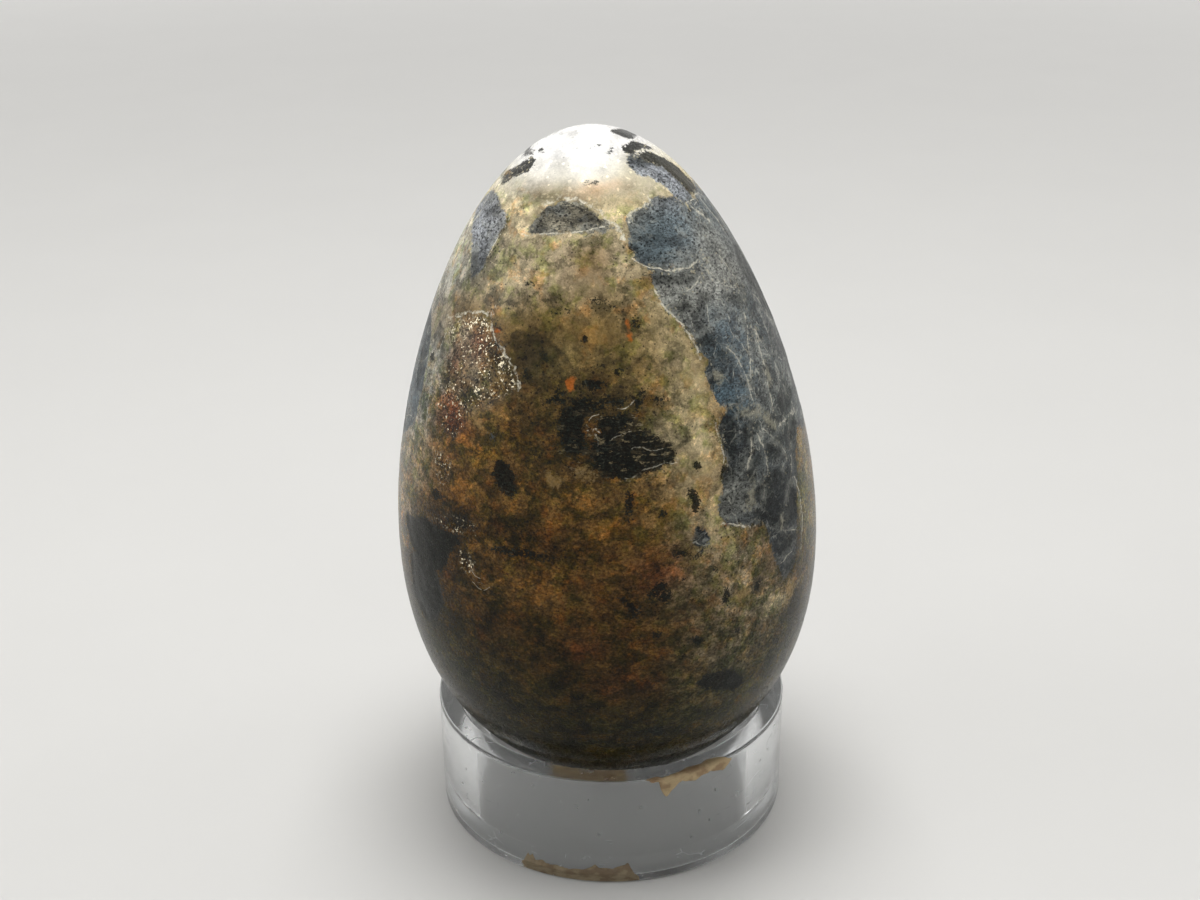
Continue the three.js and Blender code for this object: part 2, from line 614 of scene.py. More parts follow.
# %% Outlines of the slate blocks, as degrees round and millimetres down
lens_under_tip = [
    (-31, 13.6), (-29.5, 12.3), (-26, 11.2), (-20, 10.9), (-10, 10.7), (-2, 11.1), (4, 11.9), (9, 12.9),
    (12, 13.6), (6, 13.7), (-4, 13.8), (-15, 14), (-25, 14.3), (-30, 14.5),
]
round_slate = [
    (17, 15), (17, 13.6), (19, 12.5), (24, 12), (30, 11.5), (36, 11), (42, 11), (50, 11.6), (56, 12.6),
    (60, 14.5), (60, 17), (52, 18), (35, 17.9), (25, 17.7), (20, 17.3), (18, 16.4),
]
right_slate = [
    (22, 18.2), (22, 20), (26, 21.5), (28, 22.5), (31, 24), (33.5, 25), (34, 26), (38, 27.3), (34, 28),
    (34.5, 29), (36.5, 31), (39.5, 32.2), (34.5, 32.8), (34.5, 34), (36, 37), (34, 38), (32, 40),
    (31, 42.3), (36, 43), (39, 44), (45, 44), (48, 46), (47, 48.5), (51, 51.5), (58, 51), (61, 46),
    (64, 42), (68, 38.7), (75, 38), (82, 40), (90, 37), (95, 41), (103, 44.5), (111, 41), (109, 35),
    (121, 32), (116, 25), (120, 19), (108, 16), (102, 13), (97, 14), (92, 11.5), (80, 12.6), (68, 13),
    (58, 13.4), (55, 16), (45, 17.4), (30, 17.7),
]
lilac_band = [
    (34, 6.6), (40, 6.0), (47, 6.2), (54, 6.8), (63, 8.2), (68, 10), (70, 12.4), (66, 13.4), (59, 13.2),
    (53, 12), (50.5, 10.4), (47.5, 9.2), (42, 8.8), (34, 8.4),
]
upper_left_slate = [
    (-96, 14), (-92, 12), (-80, 11.5), (-72, 11), (-62, 11.5), (-55, 12.3), (-49, 13), (-47.5, 14.5),
    (-49.5, 16), (-50, 17.5), (-52, 18.5), (-55, 19.7), (-58, 18), (-65, 17), (-70, 16), (-80, 15),
]
left_slate = [
    (-66, 31), (-70, 27), (-76, 25.5), (-86, 24.5), (-97, 27), (-104, 33), (-107, 41), (-98, 45.5),
    (-90, 44), (-87, 40), (-80, 38.5), (-74, 37), (-67, 34.5),
]
slate_outlines = [lens_under_tip, round_slate, right_slate, lilac_band, upper_left_slate, left_slate]
slate_ovals = [(-31, 33.2, 0.3, 0.35, 0), (25, 43.2, 0.75, 1.5, -10)]
print(len(slate_outlines), "blocks of slate are drawn")

# %% [markdown]
# Black stone
#
# The darkest bits are streaks round the tip, dark oval pebbles, a broken black knot in the middle of the
# face, a large stain low on the left, and many broken pieces inside the slate on the right.

# %% Outlines of the black patches
low_left_stain = [
    (-60, 44.2), (-55, 43.3), (-48, 43.6), (-40, 43.7), (-39, 44.5), (-44, 45.5), (-46, 48.2), (-52, 48.9),
    (-58, 48.4), (-66, 47), (-68, 45),
]
stain_below = [
    (-64, 48), (-54, 47.8), (-50, 48.6), (-46, 51.5), (-49, 53), (-52, 55), (-60, 55.5), (-64, 53),
]
dark_pebble = [(-27.5, 34.8), (-30, 36), (-29.5, 37.5), (-27, 38.3), (-24, 38.3), (-23, 37.5), (-24, 35.8)]
black_knot = [
    (-11.4, 31.4), (-10.8, 30.2), (-9, 29.9), (-7, 29.3), (-4.6, 28.7), (-2.8, 29.2), (-2.4, 30.2),
    (-4.2, 31), (-4.3, 32.4), (-3, 33.6), (-5, 34), (-8.4, 33.8), (-10.8, 32.8),
]
broken_knot = [
    (-3.4, 33.2), (0, 31.6), (5, 31.1), (9, 31.7), (13, 32.3), (17, 32.7), (20, 34), (20, 35.3),
    (17, 35.8), (12, 36.1), (6, 36.4), (1, 36), (-2, 34.8),
]
knot_top = [(-1, 31.4), (1, 30.6), (5, 30.2), (9, 30.5), (11.5, 31.2), (9, 32), (4, 32), (0, 32)]
black_leaf = [
    (23, 58.3), (28, 58.2), (32, 58.5), (36, 59.4), (39.5, 61.2), (37, 62.2), (32, 61.6), (28, 60.9),
    (24, 59.8),
]
dark_wedge = [(34.5, 32.5), (41, 32.6), (40.5, 35), (38, 37.2), (35.2, 36.6)]
dark_foot = [(44, 40), (62, 40), (61, 42), (60, 44), (57, 46), (52, 45.6), (47, 45), (45, 42.2)]
tip_streak = [
    (56, 2.7), (62, 2.3), (78, 2.1), (95, 2.6), (110, 3.4), (125, 4.8), (132, 6.8), (122, 6.6), (105, 5),
    (92, 4.5), (78, 4.6), (66, 4.2), (58, 3.8),
]
green_streak = [
    (38, 5.2), (46, 4.6), (54, 4.9), (62, 4.8), (72, 4.9), (82, 5.9), (84, 6.5), (76, 6.3), (66, 6),
    (54, 6), (44, 6.1), (38, 6),
]
shoulder_streak = [
    (44, 6.7), (52, 6.3), (62, 6.4), (70, 6.6), (78, 7.6), (84, 9.2), (86, 11.4), (82, 12.7), (74, 12.8),
    (67, 12.4), (65, 10.6), (63, 9), (58, 8), (50, 7.7), (45, 7.4),
]
left_streak = [
    (-57, 6.6), (-52, 7.1), (-56, 8), (-64, 8.7), (-70, 9.7), (-80, 10.1), (-85, 9), (-76, 7.6),
    (-66, 6.7),
]
dark_side = [(74, 20), (80, 18.6), (88, 20), (86, 24), (91, 27), (84, 28), (79, 25), (75, 24)]
dark_side_low = [(79, 31), (86, 30), (90, 33), (98, 34), (95, 37), (87, 36), (82, 34)]
black_outlines = [
    low_left_stain, stain_below, dark_pebble, black_knot, broken_knot, knot_top, black_leaf, dark_side,
    dark_side_low, dark_wedge, dark_foot, tip_streak, green_streak, shoulder_streak, left_streak,
]
print(len(black_outlines), "black outlines are drawn")

# %% Black pebbles and flecks: degrees round, millimetres down, two halves and a turn
black_ovals = [
    (20.3, 44.7, 1.2, 0.4, -12), (17.8, 43.9, 0.5, 0.3, 0), (-1.5, 29.8, 0.9, 0.5, 0),
    (4, 29.4, 0.8, 0.3, 0), (18, 43.65, 0.35, 0.25, 0), (24, 39.6, 0.6, 1.2, 10), (15, 40, 0.45, 0.45, 0),
    (26, 36.5, 0.35, 0.4, 0), (12.2, 47.5, 0.9, 0.5, 20), (14, 48.3, 0.6, 0.5, -20),
    (10.5, 48.6, 0.4, 0.25, 0), (5.5, 49.2, 1.1, 0.35, -50), (31, 50, 0.3, 0.9, 0),
    (41.5, 50.2, 0.6, 0.7, 0), (12.5, 52.5, 0.35, 0.35, 0), (22, 54, 0.8, 0.4, -20),
    (61, 23.1, 2.2, 0.5, -20), (31, 21.9, 1.0, 0.5, 0), (42.5, 21.6, 0.8, 0.5, 0), (30, 19, 2.6, 0.6, -5),
    (37, 25.3, 1.1, 0.5, 0), (42.5, 27.2, 0.7, 0.45, 0), (44, 31.7, 0.35, 0.3, 0), (48, 30.2, 0.4, 0.4, 0),
    (52, 30.5, 0.35, 0.35, 0), (46, 34.9, 1.1, 0.8, 30), (35, 38, 0.8, 0.9, 0), (42.5, 39.1, 0.9, 0.6, 0),
    (46.5, 37.9, 0.9, 0.4, 0), (55, 37.7, 1.5, 1.1, 10), (67, 37.5, 1.9, 0.9, 0), (70, 34.5, 1.9, 0.9, 0),
    (44, 43.5, 0.8, 0.9, 0), (60, 44.2, 0.9, 1.6, 0), (53, 47.6, 1.8, 1.3, 0), (54.5, 50.5, 1.2, 0.9, 0),
    (-94, 6.4, 2.0, 0.4, 0), (-96, 9.6, 1.6, 0.4, 0), (-65, 28, 0.5, 0.6, 0), (6, 38.8, 0.35, 1.4, 0),
    (-31, 21.0, 0.3, 0.18, 0), (-13, 20.9, 0.4, 0.2, 0), (3, 20.3, 0.5, 0.25, -20),
    (14, 22.6, 0.25, 0.35, 0), (-34, 24.6, 0.25, 0.5, 0), (-26, 18.8, 0.25, 0.25, 0),
    (-3, 23.6, 0.3, 0.2, 0), (-17, 25.4, 0.35, 0.3, 0), (7, 26.8, 0.25, 0.25, 0), (18, 29.6, 0.4, 0.3, 0),
    (-22, 27.2, 0.3, 0.25, 0), (29, 46.4, 0.25, 0.25, 0), (36, 47.4, 0.2, 0.2, 0), (22, 50.2, 0.2, 0.2, 0),
    (27, 52.8, 0.22, 0.2, 0), (35, 54.2, 0.3, 0.2, 0), (19, 47.2, 0.2, 0.2, 0), (18.5, 15.8, 0.5, 0.5, 0),
    (-50, 40.6, 0.9, 0.5, 0), (-34.5, 23, 0.45, 0.3, 0), (7, 4.3, 0.25, 0.12, 0), (26, 5.2, 0.3, 0.12, 20),
    (-1, 8.6, 0.3, 0.12, 0), (-62, 5.6, 0.5, 0.2, 0), (-22, 43.7, 3.0, 0.45, 0), (-66, 13.2, 0.8, 0.5, 0),
    (-93, 33, 2.4, 1.2, 20), (-74, 30, 1.1, 2.0, 10), (-0.5, 27.7, 0.9, 0.5, 0), (-11.5, 29, 0.8, 0.35, 0),
    (12, 29.6, 0.35, 0.7, -20), (6.5, 29.3, 1.0, 0.3, 5), (14, 28.7, 0.4, 0.3, 0),
    (-11, 28.1, 0.5, 0.3, 0),
]
print(len(black_ovals), "black ovals are drawn")

# %% [markdown]
# Brassy stone, rust and pale bits
#
# On the left shoulder a patch of red brown stone full of brassy crystals glitters. Rust has stained a
# few spots orange. Pale beige bits are chips of another rock.

# %% Brassy, rusty and pale patches
brass_patch = [
    (-63, 23.6), (-57, 23.1), (-50, 22.6), (-44, 22.2), (-40, 22.3), (-38, 22.8), (-35, 24), (-32, 24.9),
    (-30, 25.5), (-27, 26.3), (-25, 27.1), (-24, 28.3), (-27, 29), (-30, 29.5), (-35, 30.5), (-40, 32),
    (-42, 33.5), (-45, 34.5), (-50, 34.5), (-53, 33.5), (-55, 32), (-56, 29), (-55, 27), (-58, 25.2),
]
brass_ovals = [(-49, 37.6, 1.5, 1.7, 20), (-42, 42.6, 3.4, 0.9, 5), (-38.5, 46, 1.2, 1.3, 10)]
rust_ovals = [
    (-7.5, 27.4, 0.5, 0.8, 0), (11.3, 22.4, 0.16, 0.6, 0), (11.8, 23.9, 0.18, 0.5, 0),
    (-34.5, 23.2, 0.4, 0.2, 0), (31.5, 42.5, 0.3, 0.15, 0), (29, 23.4, 0.2, 0.2, 0),
]
pale_ovals = [
    (-12, 36.7, 0.6, 0.6, 0), (-3.5, 35.8, 0.9, 0.6, 0), (50, 33.4, 1.2, 0.5, 0), (57, 35.4, 0.8, 0.6, 0),
    (45, 32.7, 0.9, 0.5, 0), (55.5, 34.7, 0.6, 0.6, 0), (53, 45, 0.4, 0.8, 0), (56, 53.2, 1.2, 0.6, 0),
    (37, 50.6, 0.9, 0.7, 0), (38, 28.8, 0.6, 0.5, 0), (37.5, 32, 0.9, 0.2, 0), (-65, 29, 0.9, 0.25, 10),
    (51.5, 18.5, 0.35, 0.3, 0), (42, 42, 0.9, 0.5, 0), (62, 31, 0.6, 0.9, 0), (-86, 9, 1.8, 0.3, 0),
    (42.5, 41.2, 0.6, 1.4, -10), (-31, 27.8, 1.0, 0.7, 0), (-36, 32.2, 0.6, 0.5, 0),
    (-38, 31.4, 0.4, 0.4, 0),
]
print(len(rust_ovals), "rust stains and", len(pale_ovals), "pale chips are drawn")

# %% [markdown]
# Cracks and veins
#
# Thin pale lines run along the edges of the blocks and across the slate. Each is a short list of points
# with its half width. A line is too thin for a depth cut at zero, so the finish gets the arrow from each
# point to the nearest line instead: an arrow's length stays true between the points of the grid.

# %% Pale lines, each with its half width in millimetres
pale_lines = [
    (0.18, [(-26, 11), (-18, 10.5), (-10, 10.3), (-3, 10.7), (4, 11.5), (9, 12.5), (12, 13.4), (15, 14.6)]),
    (0.06, [(-34, 14.3), (-25, 14.2), (-10, 13.9), (2, 13.5), (10, 13.2)]),
    (0.16, [(18, 13.2), (20, 12.2), (25, 11.8), (31, 11.3), (36, 10.6)]),
    (0.07, [(17, 16.6), (20, 17.3), (25, 17.8), (33, 18.1), (42, 18.2), (50, 17.8)]),
    (0.11, [(22, 20), (26, 21.5), (28, 22.5), (31, 24), (33.5, 25.2), (34, 27)]),
    (0.08, [(34.4, 32.6), (34.3, 34), (34.9, 36), (34.8, 37)]),
    (0.09, [(31, 42.3), (36, 43), (39, 44), (42, 44.2)]),
    (0.16, [(48.5, 33.6), (46.5, 35.5), (44.5, 37), (41, 38.6)]),
    (0.07, [(51, 35.2), (55, 36.2), (59, 38), (60.5, 39.6), (58, 40.4)]),
    (0.14, [(60, 36), (65, 36), (70, 36.2), (75, 36.8)]),
    (0.10, [(62, 24.5), (58, 26.5), (54.5, 29), (51, 31), (48.5, 33.6)]),
    (0.07, [(45, 26.5), (49, 28), (50.5, 30.5), (50, 33)]),
    (0.10, [(64, 26), (62, 29), (60, 32), (58, 35)]),
    (0.07, [(66, 37), (64, 39), (61, 41.5), (56, 43.5)]),
    (0.14, [(53.5, 44.2), (53.5, 45.6), (55.5, 47)]),
    (0.10, [(47, 34.5), (51, 37.5), (50, 40.5), (47, 42)]),
    (0.05, [(55, 46), (58, 46.6), (61, 47.5)]),
    (0.06, [(50, 49.4), (54, 49.1), (58, 49.3)]),
    (0.13, [(-63, 23.4), (-57, 22.9), (-50, 22.4), (-44, 22), (-40, 22.1), (-38, 22.6)]),
    (0.13, [(-38, 22.6), (-35, 23.9), (-32, 24.8), (-30, 25.4), (-27, 26.2), (-25, 27), (-24, 28.3)]),
    (0.08, [(-38, 22.2), (-38.3, 21.4), (-37.3, 20.4)]),
    (0.06, [(5.8, 36.2), (9.5, 36.1), (12, 35.8), (14, 35.6), (17, 35.4), (20, 35.8)]),
    (0.035, [(-3.6, 31.3), (-2.6, 30.7), (-0.6, 30.5)]),
    (0.045, [(9, 33.9), (12, 33.6), (13.5, 34), (17, 33.8)]),
    (0.05, [(-4, 31.8), (-1.5, 31.7), (0, 31.9)]),
    (0.04, [(-3, 31.5), (-1.4, 32), (-1, 33.2)]),
    (0.05, [(5, 29.8), (9, 30), (11, 29.3)]),
    (0.04, [(2, 32.9), (6, 32.5), (9, 32.3)]),
    (0.05, [(-48.5, 12.6), (-47, 14.5), (-49, 16), (-49.3, 18)]),
    (0.02, [(-38, 46.6), (-35, 47.4), (-32, 47.2)]),
    (0.02, [(-37, 47.8), (-34, 48.4), (-30, 48)]),
    (0.05, [(-60, 24), (-62, 28), (-61, 33), (-58, 36)]),
    (0.07, [(60, 13.2), (68, 12.9), (76, 12.8), (88, 13.3)]),
    (0.06, [(60, 15.6), (64, 14.3), (70, 13.8)]),
    (0.12, [(46, 6.35), (54, 6.15), (62, 6.2), (70, 6.4), (80, 7.2), (90, 8.4)]),
    (0.16, [(78, 5.2), (86, 5.8), (89, 7.2), (91, 8.6)]),
    (0.14, [(93, 8), (95, 10), (95, 12), (93, 14.4), (90, 17)]),
    (0.16, [(64, 13.6), (67, 14.2), (70, 15.2)]),
    (0.10, [(78, 13.4), (80, 15.5), (80, 18)]),
    (0.08, [(-86, 8.7), (-72, 7.8), (-60, 7)]),
    (0.08, [(-80, 9.8), (-68, 8.8), (-60, 8.1)]),
    (0.10, [(-84, 12), (-80, 14), (-79, 16.5), (-80, 19)]),
    (0.05, [(62, 18.5), (66, 22), (64, 26), (65, 28), (70, 31), (71, 34)]),
    (0.05, [(50, 19.5), (55, 21), (60, 21.4), (68, 22.8)]),
    (0.05, [(74, 24), (80, 27), (88, 28.4)]),
    (0.05, [(44, 19.4), (40, 20.2), (36, 20.6)]),
    (0.06, [(-66, 27), (-74, 30), (-84, 31), (-96, 30)]),
    (0.05, [(-70, 35), (-80, 36), (-92, 39)]),
    (0.06, [(63, 42), (64.5, 44), (64, 47), (62, 50)]),
]
print(len(pale_lines), "pale lines are drawn")

# %% [markdown]
# The side that no picture shows
#
# The back of the egg is cut from the same rock, so it gets the same kinds of patches, scattered by a
# seeded random generator: the same seed gives the same stone each time.

# %% Patches on the back and near the blunt end
back = np.random.default_rng(5)


def scattered(count, sizes, flatness=(0.5, 1.0)):
    """Random ovals behind the drawn face or below it, each with halves in millimetres."""
    ovals = []
    behind_share = 0.8
    for _ in range(count):
        if back.random() < behind_share:
            spot = (back.uniform(100, 262), back.uniform(8, 84))
        else:
            spot = (back.uniform(-180, 180), back.uniform(64, 86))
        size = back.uniform(*sizes)
        ovals.append((*spot, size, size * back.uniform(*flatness), back.uniform(-60, 60)))
    return ovals


def broken_block(round_degrees, down, half_wide, half_tall, turned):
    """Corners of an irregular block: points round an oval, each drawn in or out by a random share."""
    count = 11
    angle = np.linspace(0, 2 * math.pi, count, endpoint=False) + back.uniform(-0.25, 0.25, count)
    reach = back.uniform(0.5, 1.25, count)
    along, over = half_wide * reach * np.cos(angle), half_tall * reach * np.sin(angle)
    cosine, sine = math.cos(math.radians(turned)), math.sin(math.radians(turned))
    radius = np.interp(down, profile_arc, profile_radius)
    across = np.degrees((along * cosine - over * sine) / radius)
    return np.column_stack([round_degrees + across, down + along * sine + over * cosine])


back_blocks = [
    (152, 57, 8, 4.5, 35), (205, 27, 10, 4.6, -40), (236, 54, 6, 2.6, 30), (166, 15, 6, 2.4, -10),
    (182, 70, 4, 2.2, 0), (118, 66, 3.4, 1.6, 50), (222, 44, 2.6, 1.2, -40), (186, 47, 2.2, 1.2, 20),
]
slate_outlines += [broken_block(*block) for block in back_blocks]
black_ovals += [(176, 38, 4.5, 2.4, -15), (214, 66, 4, 2.5, 30), (128, 48, 3.0, 1.6, 40)]
black_ovals += scattered(55, (0.3, 1.4))
brass_ovals += [(222, 40, 5, 3, 20), (140, 70, 3, 2, 0)]
rust_ovals += [
    (200, 36, 0.6, 0.4, 0), (150, 24, 0.3, 0.5, 10), (226, 54, 0.4, 0.3, 0), (118, 66, 0.5, 0.3, 0),
]
pale_ovals += [oval for oval in scattered(26, (0.3, 1.1)) if 90 < oval[0] % 360 < 270]
back_lines = 20
for _ in range(back_lines):
    stretch = np.cumsum(np.column_stack([back.normal(0, 7, 5), back.normal(0, 2.6, 5)]), axis=0)
    pale_lines.append((back.uniform(0.02, 0.05), stretch + [back.uniform(115, 245), back.uniform(14, 70)]))
print("the back has", len(black_ovals), "black ovals in all and", len(pale_lines), "lines in all")

# %% Depths of the five kinds of patch
slate_depth = deepest(slate_outlines, slate_ovals)
black_depth = deepest(black_outlines, black_ovals)
brass_depth = deepest([brass_patch], brass_ovals)
rust_depth = deepest([], rust_ovals)
pale_depth = deepest([], pale_ovals)
print(f"slate covers {100 * np.mean(slate_depth > 0):.0f} % of the grid")


# %% Arrow from every point to its nearest pale line
line_margin = 1.0
long_arrow = 40.0


def arrows_to_lines(lines):
    """The arrow across and down to the nearest line, counted in that line's half widths, and the plain
    distance. Points far from every line keep a long arrow."""
    arrow = np.full((len(skin_down), 3), long_arrow)
    for half_wide, corners in lines:
        corners = cut_corners(np.array(corners, float), closed=False, times=1)
        chosen = near_box(corners, line_margin)
        for start, end in zip(corners[:-1], corners[1:]):
            off_x, off_y = to_side(start, end, chosen)[:2]
            gap = np.hypot(off_x, off_y)
            nearer = gap < arrow[chosen, 2]
            arrow[chosen[nearer]] = np.column_stack([off_x / half_wide, off_y / half_wide, gap])[nearer]
    return arrow


line_arrow = arrows_to_lines(pale_lines)
print(f"{np.sum(line_arrow[:, 2] < 0.5)} points lie within half a millimetre of a line")

# %% [markdown]
# The colour of the ground
#
# Between the blocks lies the ground: cream near the tip, then greenish beige, ochre, warm brown, and a
# dark olive towards the blunt end. The chalk white at the very tip is partly a painted highlight, and the
# darkening towards the blunt end is partly the rock's own tone and partly painted shade. Soft clouds of
# other earth colours, and a few pale ones that are painted sheen and highlight, drift over these bands,
# and noise breaks them up, so no band shows an edge.

# %% Earth colours
earth = {
    # chalk is the pale cream of the rock lightened towards white: partly the rock's colour, partly a painted
    # highlight
    "chalk": tint(226, 224, 220),
    "khaki": tint(132, 121, 84),
    "cream": tint(218, 211, 188),
    "peach": tint(224, 190, 150),
    "beige": tint(204, 187, 148),
    "greenish": tint(176, 160, 132),
    "ochre": tint(124, 100, 54),
    "amber": tint(122, 92, 48),
    "brown": tint(106, 76, 36),
    "umber": tint(70, 50, 22),
    "red_brown": tint(120, 62, 36),
    "olive": tint(79, 75, 38),
    "dark_olive": tint(48, 41, 18),
    "soot": tint(40, 33, 24),
    "grey": tint(134, 135, 130),
    "pale_grey": tint(164, 166, 160),
}
# the bands darken towards the blunt end, partly the rock's own tone and partly painted shade; the chalk at
# the tip is partly a painted highlight
bands = [
    (0, "chalk"), (6, "chalk"), (8.5, "cream"), (11, "beige"), (16, "greenish"), (22, "ochre"),
    (31, "amber"), (42, "brown"), (50, "umber"), (60, "dark_olive"), (91, "dark_olive"),
]
band_arc = [arc for arc, _ in bands]
band_tints = np.array([earth[name] for _, name in bands])
wavering_down = skin_down + 3 * clouds(skin_place, 9, 31)
ground = np.column_stack([np.interp(wavering_down, band_arc, band_tints[:, part]) for part in range(3)])


# %% Soft clouds of colour over the bands
torn = 1 + 0.5 * clouds(skin_place, 2.4, 39)
drift_across = 2.0 * clouds(skin_place, 5, 41)
drift_down = 2.0 * clouds(skin_place, 5, 51)


def cloud_share(round_degrees, down, half_wide, half_tall):
    """How much a soft cloud covers each point: a bell in both directions, shifted and torn by noise."""
    turn = (skin_round - round_degrees + 180) % 360 - 180
    x = np.radians(turn) * skin_radius + drift_across
    y = skin_down + drift_down - down
    return np.clip(np.exp(-((x / half_wide) ** 2) - (y / half_tall) ** 2) * torn, 0, 1)


def lay_clouds(colours, tints, spots):
    """Lays soft clouds of named colours over the colour of every point, one cloud after another."""
    for name, *oval, most in spots:
        share = most * cloud_share(*oval)
        colours += share[:, None] * (tints[name] - colours)


# the chalk cloud at -45 degrees is a painted highlight; the cream cloud at -86 degrees, the pale grey clouds
# and the grey one at -88 degrees are partly painted sheen on the left shoulder
colour_clouds = [
    ("beige", 26, 32, 4.0, 14, 0.9), ("greenish", 33, 47.5, 4.5, 4, 0.7), ("umber", -32, 48, 5, 3, 0.6),
    ("greenish", 40, 56, 6, 6, 0.5), ("cream", 44, 9.5, 4, 1.5, 0.8), ("olive", 66, 46, 3.5, 6, 0.5),
    ("khaki", 70, 45, 3.4, 7, 0.9), ("chalk", -45, 8, 5, 2.5, 0.6), ("pale_grey", -74, 19, 6, 3.5, 0.8),
    ("greenish", -66, 38, 4, 7, 0.7), ("pale_grey", -58, 29.5, 2, 4, 0.7), ("amber", -20, 31, 3, 3, 0.6),
    ("ochre", 10, 26, 5, 5, 0.6), ("khaki", -14, 26, 5, 2.6, 0.5), ("red_brown", -7, 52.7, 2.4, 1.2, 0.35),
    ("red_brown", 3, 58, 2.6, 2.2, 0.25), ("umber", -32, 40, 4, 3.5, 0.2),
    ("red_brown", -41, 25.6, 2.6, 1.8, 1.0), ("red_brown", -52, 28.5, 1.6, 2.2, 0.8),
    ("greenish", -50, 25.2, 2, 1.1, 0.8), ("red_brown", -47, 32, 2.6, 2, 1.0),
    ("amber", -31, 26.3, 1.6, 1.2, 0.8), ("greenish", -40, 28.8, 3.2, 2, 0.8),
    ("amber", 10, 38.5, 4, 2, 0.6), ("amber", -22, 47, 7, 2.5, 0.4), ("umber", -5, 29.5, 4, 1.8, 0.2),
    ("olive", -55, 58, 7, 5, 0.6), ("olive", 45, 62, 8, 5, 0.6), ("brown", 10, 50, 6, 4, 0.5),
    ("pale_grey", -66, 31, 3, 6, 0.8), ("grey", -88, 28, 5, 8, 0.7), ("beige", 50, 52.8, 2.4, 1.2, 0.6),
    ("greenish", -24, 18, 5, 3, 0.6), ("beige", -36, 17, 3, 3, 0.6), ("cream", -86, 17.5, 4, 3.4, 0.8),
    ("amber", 4, 16, 2, 1.4, 0.7), ("olive", -24, 10.5, 4.2, 0.9, 0.9), ("greenish", -6, 9.7, 6, 1.1, 0.8),
    ("peach", 4, 9.3, 1.6, 1, 0.7), ("soot", -7, 32.6, 2.6, 1.6, 0.3), ("soot", 3, 33.8, 4.4, 2.1, 0.4),
    ("soot", 13, 34.2, 2.6, 1.4, 0.25), ("soot", 4, 30.6, 6, 1.2, 0.25), ("soot", -2, 27.8, 1.4, 1, 0.4),
    ("soot", -23, 25, 1.5, 2.4, 0.8), ("soot", 6.5, 38.8, 0.6, 1.5, 0.5), ("soot", -20, 40.5, 4, 1.4, 0.2),
    ("soot", -48, 42, 4, 1.2, 0.5), ("umber", -44, 29.5, 3, 2.2, 0.6), ("red_brown", 14, 46, 3, 1.2, 0.5),
    ("ochre", 14, 38.5, 4, 2, 0.5), ("greenish", -85, 45, 7, 6, 0.5), ("ochre", 170, 30, 14, 8, 0.6),
    ("greenish", 120, 60, 9, 6, 0.6), ("brown", 230, 70, 12, 8, 0.5), ("beige", 195, 46, 6, 4, 0.7),
    ("amber", 250, 58, 7, 5, 0.6),
]
lay_clouds(ground, earth, colour_clouds)
ground *= (1 + 0.16 * clouds(skin_place, 2.2, 90))[:, None]
print(f"{len(colour_clouds)} clouds of colour lie over {len(bands)} bands")

# %% The colour of the slates
slate_tints = {
    "blue": tint(89, 110, 121),
    "deep_blue": tint(64, 78, 86),
    "steel": tint(62, 68, 69),
    "grey": tint(128, 129, 122),
    "lens": tint(134, 128, 110),
    "navy": tint(38, 44, 51),
    "green": tint(42, 54, 44),
    # lilac is lightened past the slate's own colour, as painted sheen on the upper left shoulder
    "lilac": tint(172, 176, 182),
    "lens_light": tint(164, 157, 136),
    "coal": tint(34, 32, 28),
    "pale": tint(150, 150, 142),
}
# the lilac cloud at -62 degrees is painted sheen on the upper left slate; the lilac band at 57 degrees takes
# the same lightened tint
slate_clouds = [
    ("navy", 25, 43.2, 3, 3, 1.0), ("blue", 36, 15, 8, 3.6, 1.0), ("deep_blue", 25, 14.8, 2.8, 2.4, 0.7),
    ("pale", 44, 21, 12, 3, 0.95), ("blue", 44, 30.5, 4, 2, 0.9), ("blue", 52, 26, 4, 2, 0.9),
    ("navy", 38, 35, 3, 2.6, 0.6), ("grey", 37, 41, 4.5, 2, 0.8), ("green", 68, 35, 5, 3, 0.7),
    ("lilac", -62, 14, 7, 3.4, 0.85), ("navy", 53, 43, 5, 3.5, 0.8), ("navy", 53, 49, 4, 2.5, 0.7),
    ("blue", -90, 33, 9, 5, 0.6), ("lilac", 57, 9.6, 8, 2.6, 1.0), ("pale", 60, 17.5, 3, 4, 0.8),
    ("pale", 58, 29, 1.6, 5, 0.6), ("steel", 80, 30, 9, 9, 0.7), ("deep_blue", 205, 26, 8, 6, 0.8),
    ("green", 150, 58, 8, 5, 0.7), ("lens", 232, 52, 6, 4, 0.7), ("lens", -12, 12.4, 7, 3.5, 1.0),
    ("lens_light", -11, 13.2, 3, 0.8, 0.9), ("coal", -26, 11.8, 2.4, 0.8, 0.8),
    ("coal", 6, 12.6, 2.2, 0.7, 0.8), ("coal", -30, 13.7, 1, 1.2, 0.8),
]
slate_colour = np.tile(slate_tints["steel"], (len(skin_down), 1))
lay_clouds(slate_colour, slate_tints, slate_clouds)
slate_colour *= (1 + 0.22 * clouds(skin_place, 1.6, 190))[:, None]
print(f"{len(slate_clouds)} clouds of colour lie over the slate")

